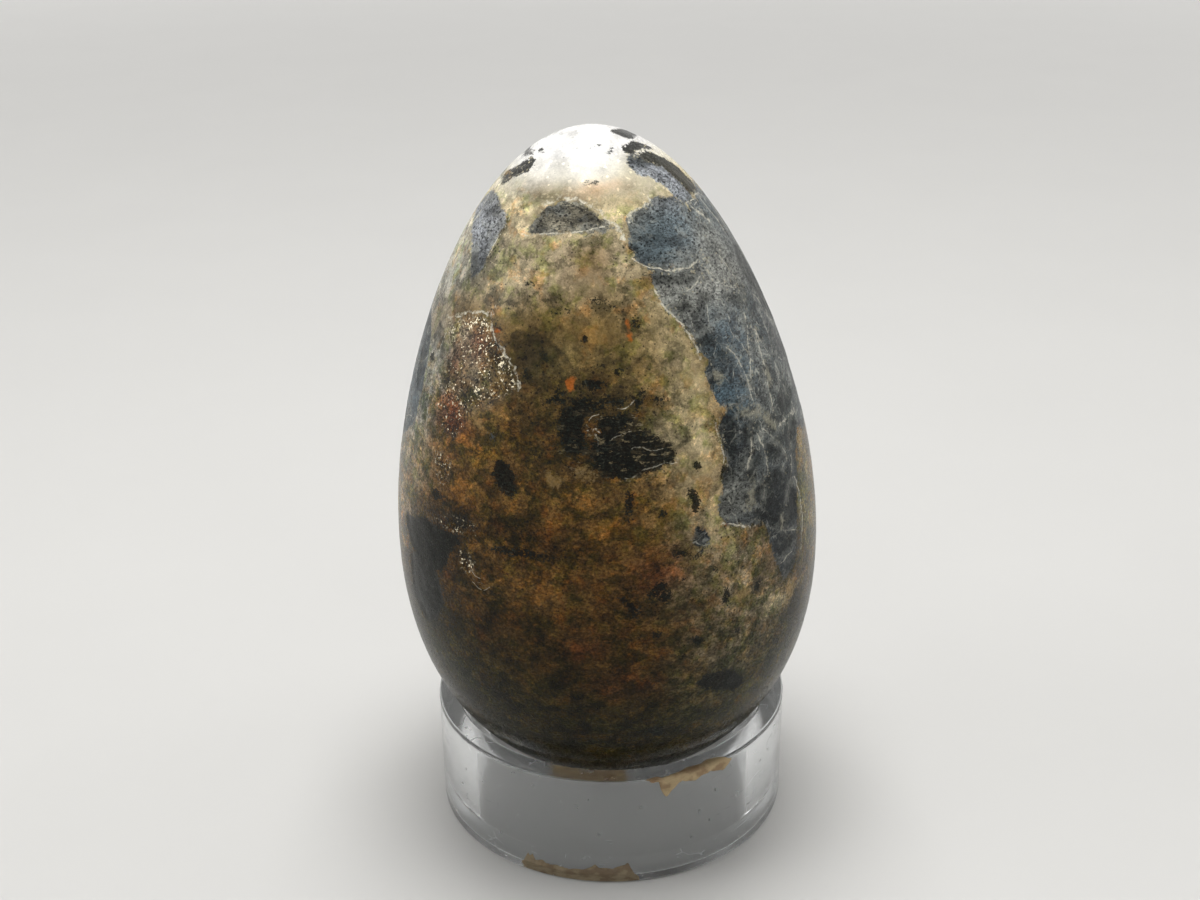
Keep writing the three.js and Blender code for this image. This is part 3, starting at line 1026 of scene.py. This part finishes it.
# %% How thickly dark specks are strewn
speck_clouds = [
    (-12, 20.5, 4.5, 1.2, 0.6), (4, 20.5, 1.2, 0.8, 0.7), (-25, 26, 2.6, 2.4, 0.8),
    (14, 22.5, 1.2, 1.0, 0.6), (-20, 41, 3.5, 3, 0.5), (-8, 31.5, 4.5, 2.4, 1.2), (5, 33.8, 7, 2.6, 1.2),
    (2, 29.8, 7, 1.8, 1.0), (-1, 27.4, 2.6, 1.6, 1.0), (-42, 42.6, 5, 1.8, 0.7), (-50, 46, 5, 4, 0.7),
    (12, 48, 3, 2, 0.6), (-48, 15.5, 1.2, 3, 0.7), (24, 40, 2, 1.8, 0.5), (20, 24, 3, 4, 0.3),
    (-52, 58, 8, 6, 0.5), (45, 57, 7, 5, 0.6), (0, 66, 30, 9, 0.3), (30, 47, 4, 4, 0.4),
    (-45, 20, 4, 2, 0.6), (-30, 16, 6, 1.0, 0.5), (2, 14.4, 3, 0.4, 0.7), (16, 17, 1.5, 3.5, 0.5),
    (-6, 18, 14, 6, -0.35), (180, 40, 60, 40, 0.4), (26, 32, 3.5, 12, -0.35), (-2, 38.5, 4, 1.6, -0.2),
    (-22, 25, 2, 2.6, 1.0),
]
speckled = 0.32 + 0.3 * clouds(skin_place, 5, 200)
for *oval, most in speck_clouds:
    speckled += most * cloud_share(*oval)
specks_start, specks_full = 8, 14
speckled = np.clip(speckled, 0, 1.2)
speckled *= np.clip((skin_down - specks_start) / (specks_full - specks_start), 0, 1)
print(f"specks cover the ground to {100 * speckled.mean():.0f} % of the most")

# %% Where the black knot is worn into level streaks
streak_clouds = [(5, 33.6, 5, 2.4), (13, 34.2, 4.5, 2.0), (5, 30.6, 4, 0.9)]
streaked = np.clip(1.2 * sum(cloud_share(*cloud) for cloud in streak_clouds), 0, 1)
print(f"streaks cover {100 * np.mean(streaked > 0.5):.1f} % of the grid")

# %% Veins are few in the lens and the round block, and many further down
veins_start, veins_full = 17, 21
veined = np.clip((skin_down - veins_start) / (veins_full - veins_start), 0.12, 1)
veined *= np.clip(0.7 + 0.9 * clouds(skin_place, 11, 240), 0.15, 1)
print(f"veins are at {100 * veined.mean():.0f} % of their strength")

# %% Where the ground is mossy: below the middle, less in the beige band on the right
moss_start, moss_full = 23, 32
moss_down = skin_down + 3 * clouds(skin_place, 6, 260)
mossy = np.clip((moss_down - moss_start) / (moss_full - moss_start), 0, 1)
mossy *= 1 - 0.85 * cloud_share(26, 34, 4.5, 14)
print(f"moss covers {100 * np.mean(mossy > 0.5):.0f} % of the grid")

# %% The best polish is on the upper half, which hands touch
polish_full, polish_gone = 32, 56
polish = np.clip((polish_gone - skin_down) / (polish_gone - polish_full), 0, 1)
polish *= 0.8 + 0.2 * clouds(skin_place, 7, 230)
print(f"polish is full down to {polish_full} mm and gone at {polish_gone} mm")

# %% [markdown]
# Relief
#
# Polishing leaves the hard bits a little proud and the soft ones a little low. The brassy patch is
# rough and sunk by about a tenth of a millimetre, the slates and the black stone by a few hundredths,
# and the pale lines run in fine grooves. All of it goes inwards, so the egg never grows past its size.

# %% Small relief, in millimetres below the polished skin
rough = clouds(skin_place, 0.9, 301, layers=2)
relief = 0.05 * (1 + clouds(skin_place, 14, 300))
# depth inside a patch, how wide its slope is, how far it is sunk, and the even and the rough share of that
sunk_patches = [
    (brass_depth, 0.5, 0.10, 0.8, 0.8), (slate_depth, 0.4, 0.03, 1, 0.6), (black_depth, 0.3, 0.04, 1, 0.8),
]
for patch_depth, slope_width, sunk, even, uneven in sunk_patches:
    relief += sunk * np.clip(patch_depth / slope_width, 0, 1) * (even + uneven * rough)
groove_depth, groove_reach = 0.05, 0.35
relief += groove_depth * np.clip(1 - line_arrow[:, 2] / groove_reach, 0, 1)
relief += 0.012 * (1 + rough)
smooth_end, skin_clearance = 3, 0.005
ends = np.clip(np.minimum(skin_down, skin_length - skin_down) / smooth_end, 0, 1)
relief = relief * ends + skin_clearance
egg_points = lean(skin_place - relief[:, None] * skin_outward + [0, 0, egg_middle - egg_pivot])
egg_points += [0, 0, egg_pivot]
print(f"relief up to {relief.max():.2f} mm deep")

# %% The egg's mesh
egg_index = 1 + np.arange((rows - 1) * columns).reshape(rows - 1, columns)
first_row, last_row = egg_index[0], egg_index[-1]
tip_fan = np.column_stack([np.zeros(columns, int), first_row, np.roll(first_row, -1)]).tolist()
blunt_point = len(egg_points) - 1
blunt_fan = np.column_stack([np.full(columns, blunt_point), np.roll(last_row, -1), last_row]).tolist()
egg = make_piece("polished_egg", egg_points, grid_faces(egg_index) + tip_fan + blunt_fan)
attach(egg, "egg")
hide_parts("stone_egg")
gap_low = egg_points.min(axis=0) - egg_low
gap_high = egg_high - egg_points.max(axis=0)
print("inside the construction model's box by", np.round(np.concatenate([gap_low, gap_high]), 3), "mm")


# %% Numbers, colours and arrows that are stored at every vertex
def store(piece, name, kind, field, values):
    """Keeps one number, colour or arrow for every vertex of the piece."""
    layer = piece.data.attributes.new(name, kind, "POINT")
    layer.data.foreach_set(field, np.ascontiguousarray(values, np.float32).ravel())


numbers = {
    "slate": slate_depth, "black": black_depth, "brass": brass_depth, "rust": rust_depth,
    "pale": pale_depth, "speckled": speckled, "polish": polish, "veined": veined, "streaked": streaked,
    "mossy": mossy,
}
for name, values in numbers.items():
    store(egg, name, "FLOAT", "value", values)
store(egg, "line", "FLOAT_VECTOR", "vector", line_arrow)
solid = np.ones((len(skin_down), 1))
store(egg, "ground", "FLOAT_COLOR", "color", np.hstack([np.clip(ground, 0, 1), solid]))
store(egg, "slate_colour", "FLOAT_COLOR", "color", np.hstack([np.clip(slate_colour, 0, 1), solid]))
print(len(numbers), "numbers, two colours and an arrow are stored at each of", len(skin_down), "points")

# %% [markdown]
# The stone's finish
#
# The stored depths say where each kind of rock lies. The finish adds what is finer than the grid: the
# ragged edges, the grain, dark specks, hairline veins, and glints that are painted into the colour as
# pale specks. Rocks differ in gloss too: the ground takes a good polish, the slate stays a little dull,
# and the brassy crystals shine like metal.

# %% The noises that all kinds of rock share
stone = Recipe("polished_stone")
place = stone.place()
coarse = stone.noise(place, 2.6, detail=5, roughness=0.6)
middling = stone.noise(place, 1.0, detail=4, roughness=0.65)
fine = stone.noise(place, 0.3, detail=3, roughness=0.7)
grit = stone.noise(place, 0.16, detail=2, roughness=0.6)
ragged = 1.3 * (middling - 0.5) + 0.9 * (fine - 0.5)
bend = stone.swerve(place, 1.6, 1.7)
bent = stone.moved(place, bend)
print("the shared noises take", stone.count(), "nodes")

# %% Ground: light lumps, dark seams, greener, redder and gloomy clouds
stored_ground = stone.painted("ground", "Color")
lump_size = 1.5
lump = stone.luck(bent, lump_size, "X")
seam_gap = stone.grains(bent, lump_size, "DISTANCE_TO_EDGE")
speckling = stone.painted("speckled")
mottled = stone.between(speckling, 0.0, 0.4)
soft = stone.noise(place, 1.9, detail=2)
unevenness = 0.7 * (lump - 0.5) + 1.9 * (middling - 0.5) + 0.9 * (fine - 0.5)
smooth_part = 0.9 * (1 - mottled) * (soft - 0.5)
earthy = stone.scaled(stored_ground, 1.04 + (0.25 + 0.75 * mottled) * unevenness + smooth_part)
in_seam = stone.below(seam_gap, 0.0, 0.22) * stone.between(coarse, 0.40, 0.58)
earthy = stone.stained(earthy, (0.45, 0.47, 0.42), 0.7 * mottled * in_seam)
greener = stone.between(stone.noise(place, 1.7, detail=5, roughness=0.65), 0.48, 0.62)
earthy = stone.stained(earthy, (0.70, 0.82, 0.52), 0.85 * mottled * greener)
redder = stone.between(stone.part(stone.noise(place, 2.1, 4, 0.6, "Color"), "Y"), 0.53, 0.66)
earthy = stone.stained(earthy, (1.22, 0.92, 0.66), 0.8 * mottled * redder)
seam = stone.part(stone.noise(place, 1.2, 5, 0.7, "Color"), "Z")
gloomy = stone.between(0.75 * seam + 0.25 * fine + 0.30 * (speckling - 0.5), 0.53, 0.62)
earthy = stone.stained(earthy, (0.34, 0.36, 0.34), 0.8 * mottled * gloomy)
print("with the ground it is", stone.count(), "nodes")

# %% [markdown]
# Moss and specks
#
# The lower ground looks mossy: torn dark green and warm patches with short fibres. Noise that is
# stretched upwards gives the fibres, and a Mapping node leans them over, so that they don't look like
# the grain of wood. Specks are cells of a grain that are small enough and lucky enough to be dark.

# %% Moss: torn dark and warm patches, and short leaning fibres
mossiness = stone.painted("mossy")
swayed = stone.moved(place, stone.scaled(bend, 0.3))
tilt = {"Vector": swayed, "Rotation": (0, -0.6, 0), "Scale": (0.8, 0.9, 1.2)}
leaning = stone.node("ShaderNodeMapping", {}, tilt)
moss = stone.noise(leaning, 2.2, 8, 0.74, "Color")
dark_moss = stone.between(stone.part(moss, "X"), 0.50, 0.57)
earthy = stone.stained(earthy, (0.27, 0.38, 0.20), 0.8 * mossiness * dark_moss)
warm_moss = stone.between(stone.part(moss, "Y"), 0.50, 0.58)
earthy = stone.stained(earthy, (1.38, 1.13, 0.80), 0.8 * mossiness * warm_moss)
fibre = stone.between(stone.noise(leaning, 0.25, 4, 0.75), 0.36, 0.64)
earthy = stone.scaled(earthy, 1 + mossiness * (1.1 * fibre - 0.5))
print("with the moss it is", stone.count(), "nodes")

# %% Crisp dark specks and pale grains
speck_size, dust_size = 0.8, 0.34
speck_gap = stone.grains(place, speck_size) + 0.5 * (fine - 0.5)
speck_luck = stone.luck(place, speck_size, "Y")
specks = stone.between(0.07 + 0.45 * (speck_luck - 1 + 0.42 * speckling) - speck_gap, 0.0, 0.07)
dust_gap = stone.grains(place, dust_size) + 0.4 * (grit - 0.5)
dust_luck = stone.luck(place, dust_size, "Y")
dust = stone.between(0.16 + 0.5 * (dust_luck - 1 + 0.55 * speckling) - dust_gap, 0.0, 0.08)
specks = stone.larger(specks, 0.9 * dust)
earthy = stone.stained(earthy, (0.18, 0.18, 0.20), 0.9 * specks)
pale_grain = stone.between(stone.luck(place, 0.3, "X"), 0.93, 0.96)
earthy = stone.layer(earthy, stone.scaled(earthy, 1.7), 0.6 * pale_grain)
print("with the specks it is", stone.count(), "nodes")

# %% [markdown]
# Slate
#
# Slate is streaky, flecked and pitted, and cracked into fragments that differ a little in shade. The
# fragments and the hairlines between them come from the same bent grains, so a line always runs
# where the shade changes. Haze and murk are broad pale and dark clouds.

# %% Slate: streaks, haze, murk, flecks and pits
slate = stone.painted("slate_colour", "Color")
streak = stone.noise(stone.tinted(place, (1.0, 1.0, 2.2)), 0.36, detail=4, roughness=0.75)
slaty = stone.scaled(slate, 0.45 + 1.1 * stone.between(streak, 0.36, 0.64) + 1.5 * (middling - 0.5))
slaty = stone.layer(slaty, stone.scaled(slate, 0.4), stone.between(coarse, 0.52, 0.64) * 0.5)
hazy = stone.noise(stone.tinted(bent, (0.8, 0.8, 1.6)), 2.0, 5, 0.7, "Color")
haze = stone.between(stone.part(hazy, "Y"), 0.50, 0.64)
slaty = stone.layer(slaty, paint(156, 158, 150), 0.5 * haze)
murk = stone.between(stone.part(hazy, "Z"), 0.50, 0.62)
slaty = stone.layer(slaty, stone.scaled(slaty, 0.35), 0.8 * murk)
fleck = stone.part(stone.noise(stone.tinted(place, (1, 1, 1.6)), 0.42, 3, 0.6, "Color"), "X")
flecks = stone.between(fleck + 0.35 * (grit - 0.5), 0.56, 0.60)
pits = stone.between(0.26 + 0.5 * (dust_luck - 0.6) + 0.7 * (fleck - 0.5) - dust_gap, 0.0, 0.06)
slaty = stone.layer(slaty, paint(18, 20, 22), 0.85 * stone.larger(0.7 * flecks, pits))
print("with the slate's grain it is", stone.count(), "nodes")

# %% Slate: hairlines and fragments
fragment_size, block_size = 1.3, 3.4
hairline = stone.below(stone.grains(bent, block_size, "DISTANCE_TO_EDGE"), 0.004, 0.028)
hairline = hairline * stone.between(middling, 0.36, 0.56) * stone.painted("veined")
hairline = hairline * stone.between(stone.part(hazy, "X"), 0.44, 0.54)
fine_hairline = stone.below(stone.grains(bent, fragment_size, "DISTANCE_TO_EDGE"), 0.01, 0.06)
fine_hairline = fine_hairline * stone.between(coarse, 0.46, 0.62) * stone.between(streak, 0.40, 0.60)
veins = stone.larger(hairline, 0.5 * fine_hairline * stone.painted("veined"))
fragment = stone.luck(bent, fragment_size, "X")
block = stone.luck(bent, block_size, "Y")
slaty = stone.scaled(slaty, 1 + stone.painted("veined") * (0.7 * fragment + 0.5 * block - 0.6))
slaty = stone.layer(slaty, paint(182, 182, 170), 0.75 * veins)
slate_mask = stone.between(stone.painted("slate") + ragged + 0.9 * (coarse - 0.5), -0.16, 0.16)
colour = stone.layer(earthy, slaty, slate_mask)
print("with the slate's cracks it is", stone.count(), "nodes")

# %% [markdown]
# Black stone, chips and rust
#
# The black is not one flat colour: it has grey green flecks, and in the knot it is worn into level
# streaks. Inside the slate it lets some of the slate show through. Chips and rust stains are small, so a
# depth with a wider ramp is enough for their softer edges.

# %% Black stone, with grey green flecks
sooty = stone.layer(paint(6, 8, 6), paint(38, 44, 38), stone.between(streak, 0.48, 0.66))
sooty = stone.layer(sooty, paint(104, 104, 92), 0.3 * fine_hairline)
wavy = stone.moved(place, stone.scaled(bend, 0.35))
level_streak = stone.noise(stone.tinted(wavy, (0.5, 0.5, 2.0)), 0.9, detail=4, roughness=0.65)
streaky = stone.painted("streaked")
black_edge = stone.painted("black") + ragged + 2.2 * streaky * (level_streak - 0.5)
black_edge = black_edge + 0.8 * speckling * (fine - 0.5) + 0.9 * (streak - 0.5) + 0.8 * (grit - 0.5)
worn = stone.between(0.5 * middling + 0.5 * level_streak, 0.52, 0.57)
sooty = stone.layer(sooty, paint(66, 58, 42), 0.75 * worn * streaky)
black_mask = stone.between(black_edge, -0.08 - 0.2 * slate_mask, 0.08 + 0.15 * slate_mask)
colour = stone.layer(colour, sooty, (0.95 - 0.4 * slate_mask) * black_mask)
print("with the black stone it is", stone.count(), "nodes")

# %% Pale chips, straw coloured streaks in the knot, and rust
pale_mask = stone.between(stone.painted("pale") + 1.4 * ragged, -0.2, 0.3)
chip = stone.layer(paint(146, 120, 76), paint(150, 146, 126), slate_mask)
colour = stone.layer(colour, stone.scaled(chip, 0.55 + 0.9 * middling), 0.65 * pale_mask)
straw = stone.between(level_streak, 0.585, 0.61) * stone.below(level_streak, 0.63, 0.655)
straw = straw * streaky * stone.between(middling, 0.42, 0.52)
colour = stone.layer(colour, paint(158, 144, 112), 0.7 * straw)
rust_mask = stone.between(stone.painted("rust") + 0.6 * ragged, -0.1, 0.2)
rust = stone.scaled(paint(178, 98, 34)[:3], 0.5 + middling)
colour = stone.layer(colour, rust, 0.9 * rust_mask)
print("with the chips and rust it is", stone.count(), "nodes")

# %% [markdown]
# Crystals and pale lines
#
# A brassy patch is a crowd of small crystals. Each cell of a fine grain is one crystal, and the few with
# the luckiest number are metal, painted a pale cream that is partly a painted glint. The pale lines are
# cut from the stored arrow: noise pushes the arrow about, which makes the lines waver, and other noise
# breaks them.

# %% The brassy patch: small crystals, a few of which are metal with a painted glint
brass_mask = stone.between(stone.painted("brass") + ragged, -0.1, 0.5)
crystal_size = 0.2
crystal = stone.grains(stone.moved(place, stone.scaled(bend, 0.12)), crystal_size, out="Color")
arrow = stone.painted("line", "Vector")
gap = stone.part(arrow, "Z")
near_edge = stone.below(gap, 0.2, 2.4)
glitter = stone.noise(place, 0.17, detail=2, roughness=0.7)
flash_luck = 0.35 * stone.part(crystal, "X") + 0.8 * glitter + 0.5 * (middling - 0.5) + 0.09 * near_edge
flash = stone.between(flash_luck, 0.76, 0.80) * brass_mask
gloom = stone.between(stone.part(crystal, "Y"), 0.6, 0.7) * brass_mask * (1 - flash)
colour = stone.stained(colour, (0.34, 0.32, 0.30), gloom)
# the flashing crystals are metallic, and this pale colour is partly their brass and partly a painted glint
colour = stone.layer(colour, paint(226, 214, 184), flash)
print("with the brassy patch it is", stone.count(), "nodes")

# %% Painted glints: pale specks close to the pale lines and round the slates, where the polish is
off_edge = stone.maths("ABSOLUTE", stone.painted("slate"), 0.0)
beside = stone.between(0.9 - gap, 0.0, 0.5) + stone.between(1 - 2 * off_edge, 0.0, 1.0)
painted_glint = stone.between(stone.part(crystal, "Z") + 0.06 * beside, 0.985, 0.995) * stone.painted("polish")
painted_glint = painted_glint * stone.between(beside, 0.1, 0.4) * (1 - speckling)
# painted highlights: a pale colour laid where a polished crystal would catch the light
colour = stone.layer(colour, paint(206, 196, 164), 0.7 * painted_glint)
print("with the stray crystals it is", stone.count(), "nodes")

# %% Pale lines, which waver and break
wavering = stone.moved(arrow, stone.swerve(place, 0.6, 7.0))
widths = stone.length(stone.part(wavering, "X"), stone.part(wavering, "Y"))
halo = stone.below(gap, 0.1, 1.0) * stone.between(middling, 0.42, 0.62) * slate_mask
colour = stone.layer(colour, paint(150, 152, 144), 0.3 * halo)
lines = stone.below(widths, 0.3, 1.5) * stone.below(gap, 0.34, 0.42)
lines = lines * stone.between(0.6 * middling + 0.4 * fine, 0.42, 0.54)
lines = lines * stone.between(coarse, 0.30, 0.46)
faded = 0.92 - 0.30 * stone.between(stone.painted("slate"), 0.3, 1.0) - 0.5 * black_mask
colour = stone.layer(colour, paint(228, 222, 202), faded * lines)
grainy = 0.5 + 0.7 * stone.larger(stone.larger(mottled, mossiness), slate_mask)
colour = stone.scaled(colour, 1 + grainy * (grit - 0.5))
print("with the pale lines it is", stone.count(), "nodes")

# %% Gloss and fine relief
dull = 0.27 + 0.10 * slate_mask + 0.2 * (fine - 0.5)
height = 0.5 * fine + 0.4 * middling - 0.5 * flecks * slate_mask - 0.5 * specks - 0.4 * lines
height = height + brass_mask * (1.6 * stone.part(crystal, "Z") + 0.8 * fine)
bump = stone.node("ShaderNodeBump", {}, {"Strength": 0.5, "Distance": 0.06 * mm, "Height": height})
shader = stone.surface(
    Base_Color=colour,
    Roughness=stone.larger(dull - 0.1 * flash, 0.1),
    Metallic=0.8 * flash,
    Normal=bump,
    IOR=1.5,
    Specular_IOR_Level=0.12,
    Coat_Weight=0.22 * stone.painted("polish") * (1 - 0.8 * black_mask),
    Coat_Roughness=0.16,
)
egg.data.materials.append(stone.finish(shader))

# %% [markdown]
# The ring's shape
#
# The ring is a slice of thick clear tube. Its profile has six corners: two on the outer wall, and at
# each mouth one where the flat land meets the chamfer and one where the chamfer meets the bore. Every
# corner is rounded by polishing. The straight runs get points close to the corners, so that flat faces
# stay flat when the mesh is shaded smooth.


# %% Profile of the ring
def rounded_corner(centre, start, end, steps=8):
    """Points on an arc round a centre, anticlockwise between two angles counted in quarter turns."""
    angle = np.linspace(start, end, steps + 1) * math.pi / 2
    return np.array(centre) + edge_radius * np.column_stack([np.cos(angle), np.sin(angle)])


land_shift = edge_radius * math.tan(math.pi / 8)
wall_x = ring_radius - edge_radius
land_x = mouth_radius + land_shift
bore_x = bore_radius + edge_radius
bore_y = mouth_chamfer + land_shift
corner_arcs = [
    rounded_corner((wall_x, edge_radius), 3, 4),
    rounded_corner((wall_x, ring_height - edge_radius), 0, 1),
    rounded_corner((land_x, ring_height - edge_radius), 1, 1.5),
    rounded_corner((bore_x, ring_height - bore_y), 1.5, 2),
    rounded_corner((bore_x, bore_y), 2, 2.5),
    rounded_corner((land_x, edge_radius), 2.5, 3),
]
shares = np.array([0.02, 0.12, 0.3, 0.5, 0.7, 0.88, 0.98])[:, None]
ring_profile = np.concatenate(
    [
        np.concatenate([arc, arc[-1] + shares * (following[0] - arc[-1])])
        for arc, following in zip(corner_arcs, corner_arcs[1:] + corner_arcs[:1])
    ]
)
print(f"{len(ring_profile)} points on the ring's profile")


# %% The ring's mesh
def turned_ring(profile, steps):
    """Carries a closed profile of radius and height once round the upright axis."""
    turn = np.linspace(0, 2 * math.pi, steps, endpoint=False)
    radius, height = profile[:, :1], profile[:, 1:]
    points = [radius * np.cos(turn), radius * np.sin(turn), height + 0 * turn]
    return np.stack(points, axis=-1).reshape(-1, 3)


ring_steps = 288
ring_points = turned_ring(ring_profile, ring_steps)
ring_index = np.arange(len(ring_points)).reshape(len(ring_profile), ring_steps)
ring_faces = [face[::-1] for face in grid_faces(ring_index, wrap_rows=True)]
ring = make_piece("clear_ring", ring_points, ring_faces)
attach(ring, "stand")
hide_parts("ring_stand")
print(f"{len(ring.data.polygons)} faces")


# %% [markdown]
# The clear acrylic
#
# Acrylic bends light a little less than glass does. The ring has been handled: fine scratches and a few
# smudges catch the light, which a mask of thin lines in the roughness and the relief gives. The lands and
# the chamfers were cut and only lightly polished, so they are a little satin.


# %% Finish of the clear acrylic
def clear_acrylic():
    """The clear finish, with scratches, smudges, spots and satin cuts."""
    clear = Recipe("clear_acrylic")
    place = clear.place()
    smudge = clear.between(clear.noise(place, 5, detail=4, roughness=0.6), 0.5, 0.75)
    bend = clear.scaled(clear.noise(place, 6, out="Color"), 6)
    squeezed = clear.moved(clear.tinted(place, (0.6, 0.6, 1.7)), bend)
    scratch_web = clear.grains(squeezed, 5, "DISTANCE_TO_EDGE")
    some = clear.between(clear.noise(place, 2.2, detail=2), 0.52, 0.6)
    scratches = clear.below(scratch_web, 0.004, 0.012) * some
    across, depth, height = [clear.part(place, letter) for letter in "XYZ"]
    reach = clear.length(across, depth)
    cut_low, cut_high = mouth_chamfer - 0.1, mouth_chamfer + 0.1
    at_foot = clear.below(height, cut_low, cut_high)
    at_mouth = at_foot + clear.between(height, ring_height - cut_high, ring_height - cut_low)
    satin = at_mouth * clear.below(reach, wall_x - 0.05, wall_x + 0.1)
    spot = clear.between(clear.noise(place, 1.1, detail=2), 0.70, 0.74)
    height = 0.25 * clear.noise(place, 0.6, detail=3) * smudge - scratches
    bump = clear.node("ShaderNodeBump", {}, {"Strength": 0.25, "Distance": 0.02 * mm, "Height": height})
    shader = clear.surface(
        Base_Color=paint(250, 252, 253),
        Roughness=0.015 + 0.05 * smudge + 0.25 * scratches + 0.2 * satin + 0.3 * spot,
        Normal=bump,
        IOR=1.49,
        Transmission_Weight=1.0,
    )
    return clear.finish(shader)


ring.data.materials.append(clear_acrylic())

# %% [markdown]
# Torn paper on the ring
#
# Bits of a paper backing, torn off long ago, still stick to the acrylic: a strip under the foot in front,
# which is seen through the clear wall, and a scrap that is folded over the outer edge of the rim, with a
# tongue that hangs down the wall. Each is a film a twentieth of a millimetre thick that follows the
# ring's profile. Its reach at every degree is drawn and frayed with noise.

# %% The profile lines that the two films follow
film_gap = 0.03
film_thickness = 0.05
tuck = 0.765
narrowest = 0.02


def foot_line(depth):
    """Radius and height along the lower mouth, from the outer edge inwards over the land and the chamfer,
    at a depth within the acrylic, as glued paper looks through the clear wall."""
    corner = depth * math.tan(math.pi / 8)
    radius = [wall_x, mouth_radius + corner, bore_radius + depth, bore_radius + depth]
    return np.array([radius, [depth, depth, mouth_chamfer + corner, ring_height / 2]])


def rim_line(depth):
    """Radius and height over the rim's outer edge: from where the film is tucked in over the land, round
    the polished corner and down the outer wall. Here the greater depth is the face nearer the acrylic."""
    rise = 2 * film_gap + film_thickness - depth
    turn = np.linspace(math.pi / 2, 0, 7)
    radius = wall_x + (edge_radius + rise) * np.cos(turn)
    height = ring_height - edge_radius + (edge_radius + rise) * np.sin(turn)
    start = np.array([[wall_x - tuck], [height[0]]])
    end = np.array([[radius[-1]], [ring_height / 2]])
    return np.hstack([start, [radius, height], end])


# %% A film of torn paper
def torn_film(name, line, drawn, seed, steps_round=160, steps_along=24):
    """A closed thin solid: rows of points along a profile line, between the drawn first and last reach,
    on two faces. Each drawn item is a degree round and the two reaches there, in millimetres."""
    drawn = np.array(drawn, float)
    turn = np.linspace(drawn[0, 0], drawn[-1, 0], steps_round)
    fray = clouds(np.column_stack([turn, 0 * turn, 0 * turn]), 1.3, seed)
    first = np.interp(turn, drawn[:, 0], drawn[:, 1]) + 0.10 * fray
    last = np.interp(turn, drawn[:, 0], drawn[:, 2]) + 0.14 * np.roll(fray, 40)
    reach = np.linspace(0, 1, steps_along)[:, None] * np.maximum(last - first, narrowest) + first
    angle = np.radians(turn)
    faces_of_film = []
    for depth in (film_gap, film_gap + film_thickness):
        radius, height = line(depth)
        along = np.concatenate([[0], np.cumsum(np.hypot(np.diff(radius), np.diff(height)))])
        spot = np.clip(reach, 0, None)
        radius, height = np.interp(spot, along, radius), np.interp(spot, along, height)
        faces_of_film.append(np.stack([radius * np.sin(angle), -radius * np.cos(angle), height], axis=-1))
    # there and back again: over the outer face, then back over the inner one
    loop = np.concatenate([faces_of_film[0], faces_of_film[1][::-1]])
    index = np.arange(loop.shape[0] * loop.shape[1]).reshape(loop.shape[:2])
    around = np.roll(index, -1, axis=0)
    sides = np.stack([index[:, :-1], index[:, 1:], around[:, 1:], around[:, :-1]], axis=-1).reshape(-1, 4)
    ends = [index[:, 0].tolist(), index[::-1, -1].tolist()]
    film = make_piece(name, loop.reshape(-1, 3), sides.tolist() + ends)
    tidy = bmesh.new()
    tidy.from_mesh(film.data)
    bmesh.ops.recalc_face_normals(tidy, faces=tidy.faces)
    tidy.to_mesh(film.data)
    tidy.free()
    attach(film, "stand")
    print(f"{name}: {len(film.data.polygons)} faces")
    return film


foot_reach = [
    (-32, 1.2, 1.5), (-31, 0.8, 2.9), (-30, 0.3, 2.6), (-29, 0.2, 2.9), (-27.5, 0.1, 2.3),
    (-25, 0.05, 2.5), (-23, 0.1, 2.2), (-19, 0.05, 2.3), (-15, 0.05, 2.1), (-11, 0.1, 2.3),
    (-8, 0.05, 2.5), (-6, 0.05, 3.0), (-5, 0.1, 2.7), (-2.5, 0.05, 2.5), (0, 0.05, 2.6), (3, 0.05, 2.9),
    (5.5, 0.1, 3.1), (8.5, 0.3, 0.9),
]
foot_paper = torn_film("foot_paper", foot_line, foot_reach, seed=401)
rim_reach = [
    (10.5, 1.0, 1.1), (12, 0.9, 1.35), (14.4, 0.9, 1.5), (15, 1.0, 2.4), (16, 1.0, 3.1), (17, 1.0, 3.4),
    (18.5, 0.9, 2.8), (20.5, 0.8, 2.2), (22, 0.7, 1.9), (24, 0.4, 2.1), (26.5, 0.4, 2.3), (29, 0.5, 1.9),
    (32, 0.3, 1.8), (35, 0.4, 2.1), (37, 0.8, 2.3), (39, 1.2, 2.0), (40.3, 1.4, 1.6),
]
rim_paper = torn_film("rim_paper", rim_line, rim_reach, seed=402)


# %% Finish of the torn paper
def torn_paper():
    """The brown finish of both films, darker where it is stained."""
    paper = Recipe("torn_paper")
    place = paper.place()
    fibres = paper.noise(paper.tinted(place, (1, 1, 2.4)), 0.5, detail=5, roughness=0.7)
    stains = paper.between(paper.noise(place, 1.6, detail=3), 0.44, 0.62)
    colour = paper.layer(paint(192, 170, 132), paint(156, 130, 98), stains)
    colour = paper.scaled(colour, 0.66 + 0.62 * fibres)
    bump = paper.node("ShaderNodeBump", {}, {"Strength": 0.6, "Distance": 0.05 * mm, "Height": fibres})
    return paper.finish(paper.surface(Base_Color=colour, Roughness=0.85, Normal=bump))


paper_finish = torn_paper()
for film in (foot_paper, rim_paper):
    film.data.materials.append(paper_finish)
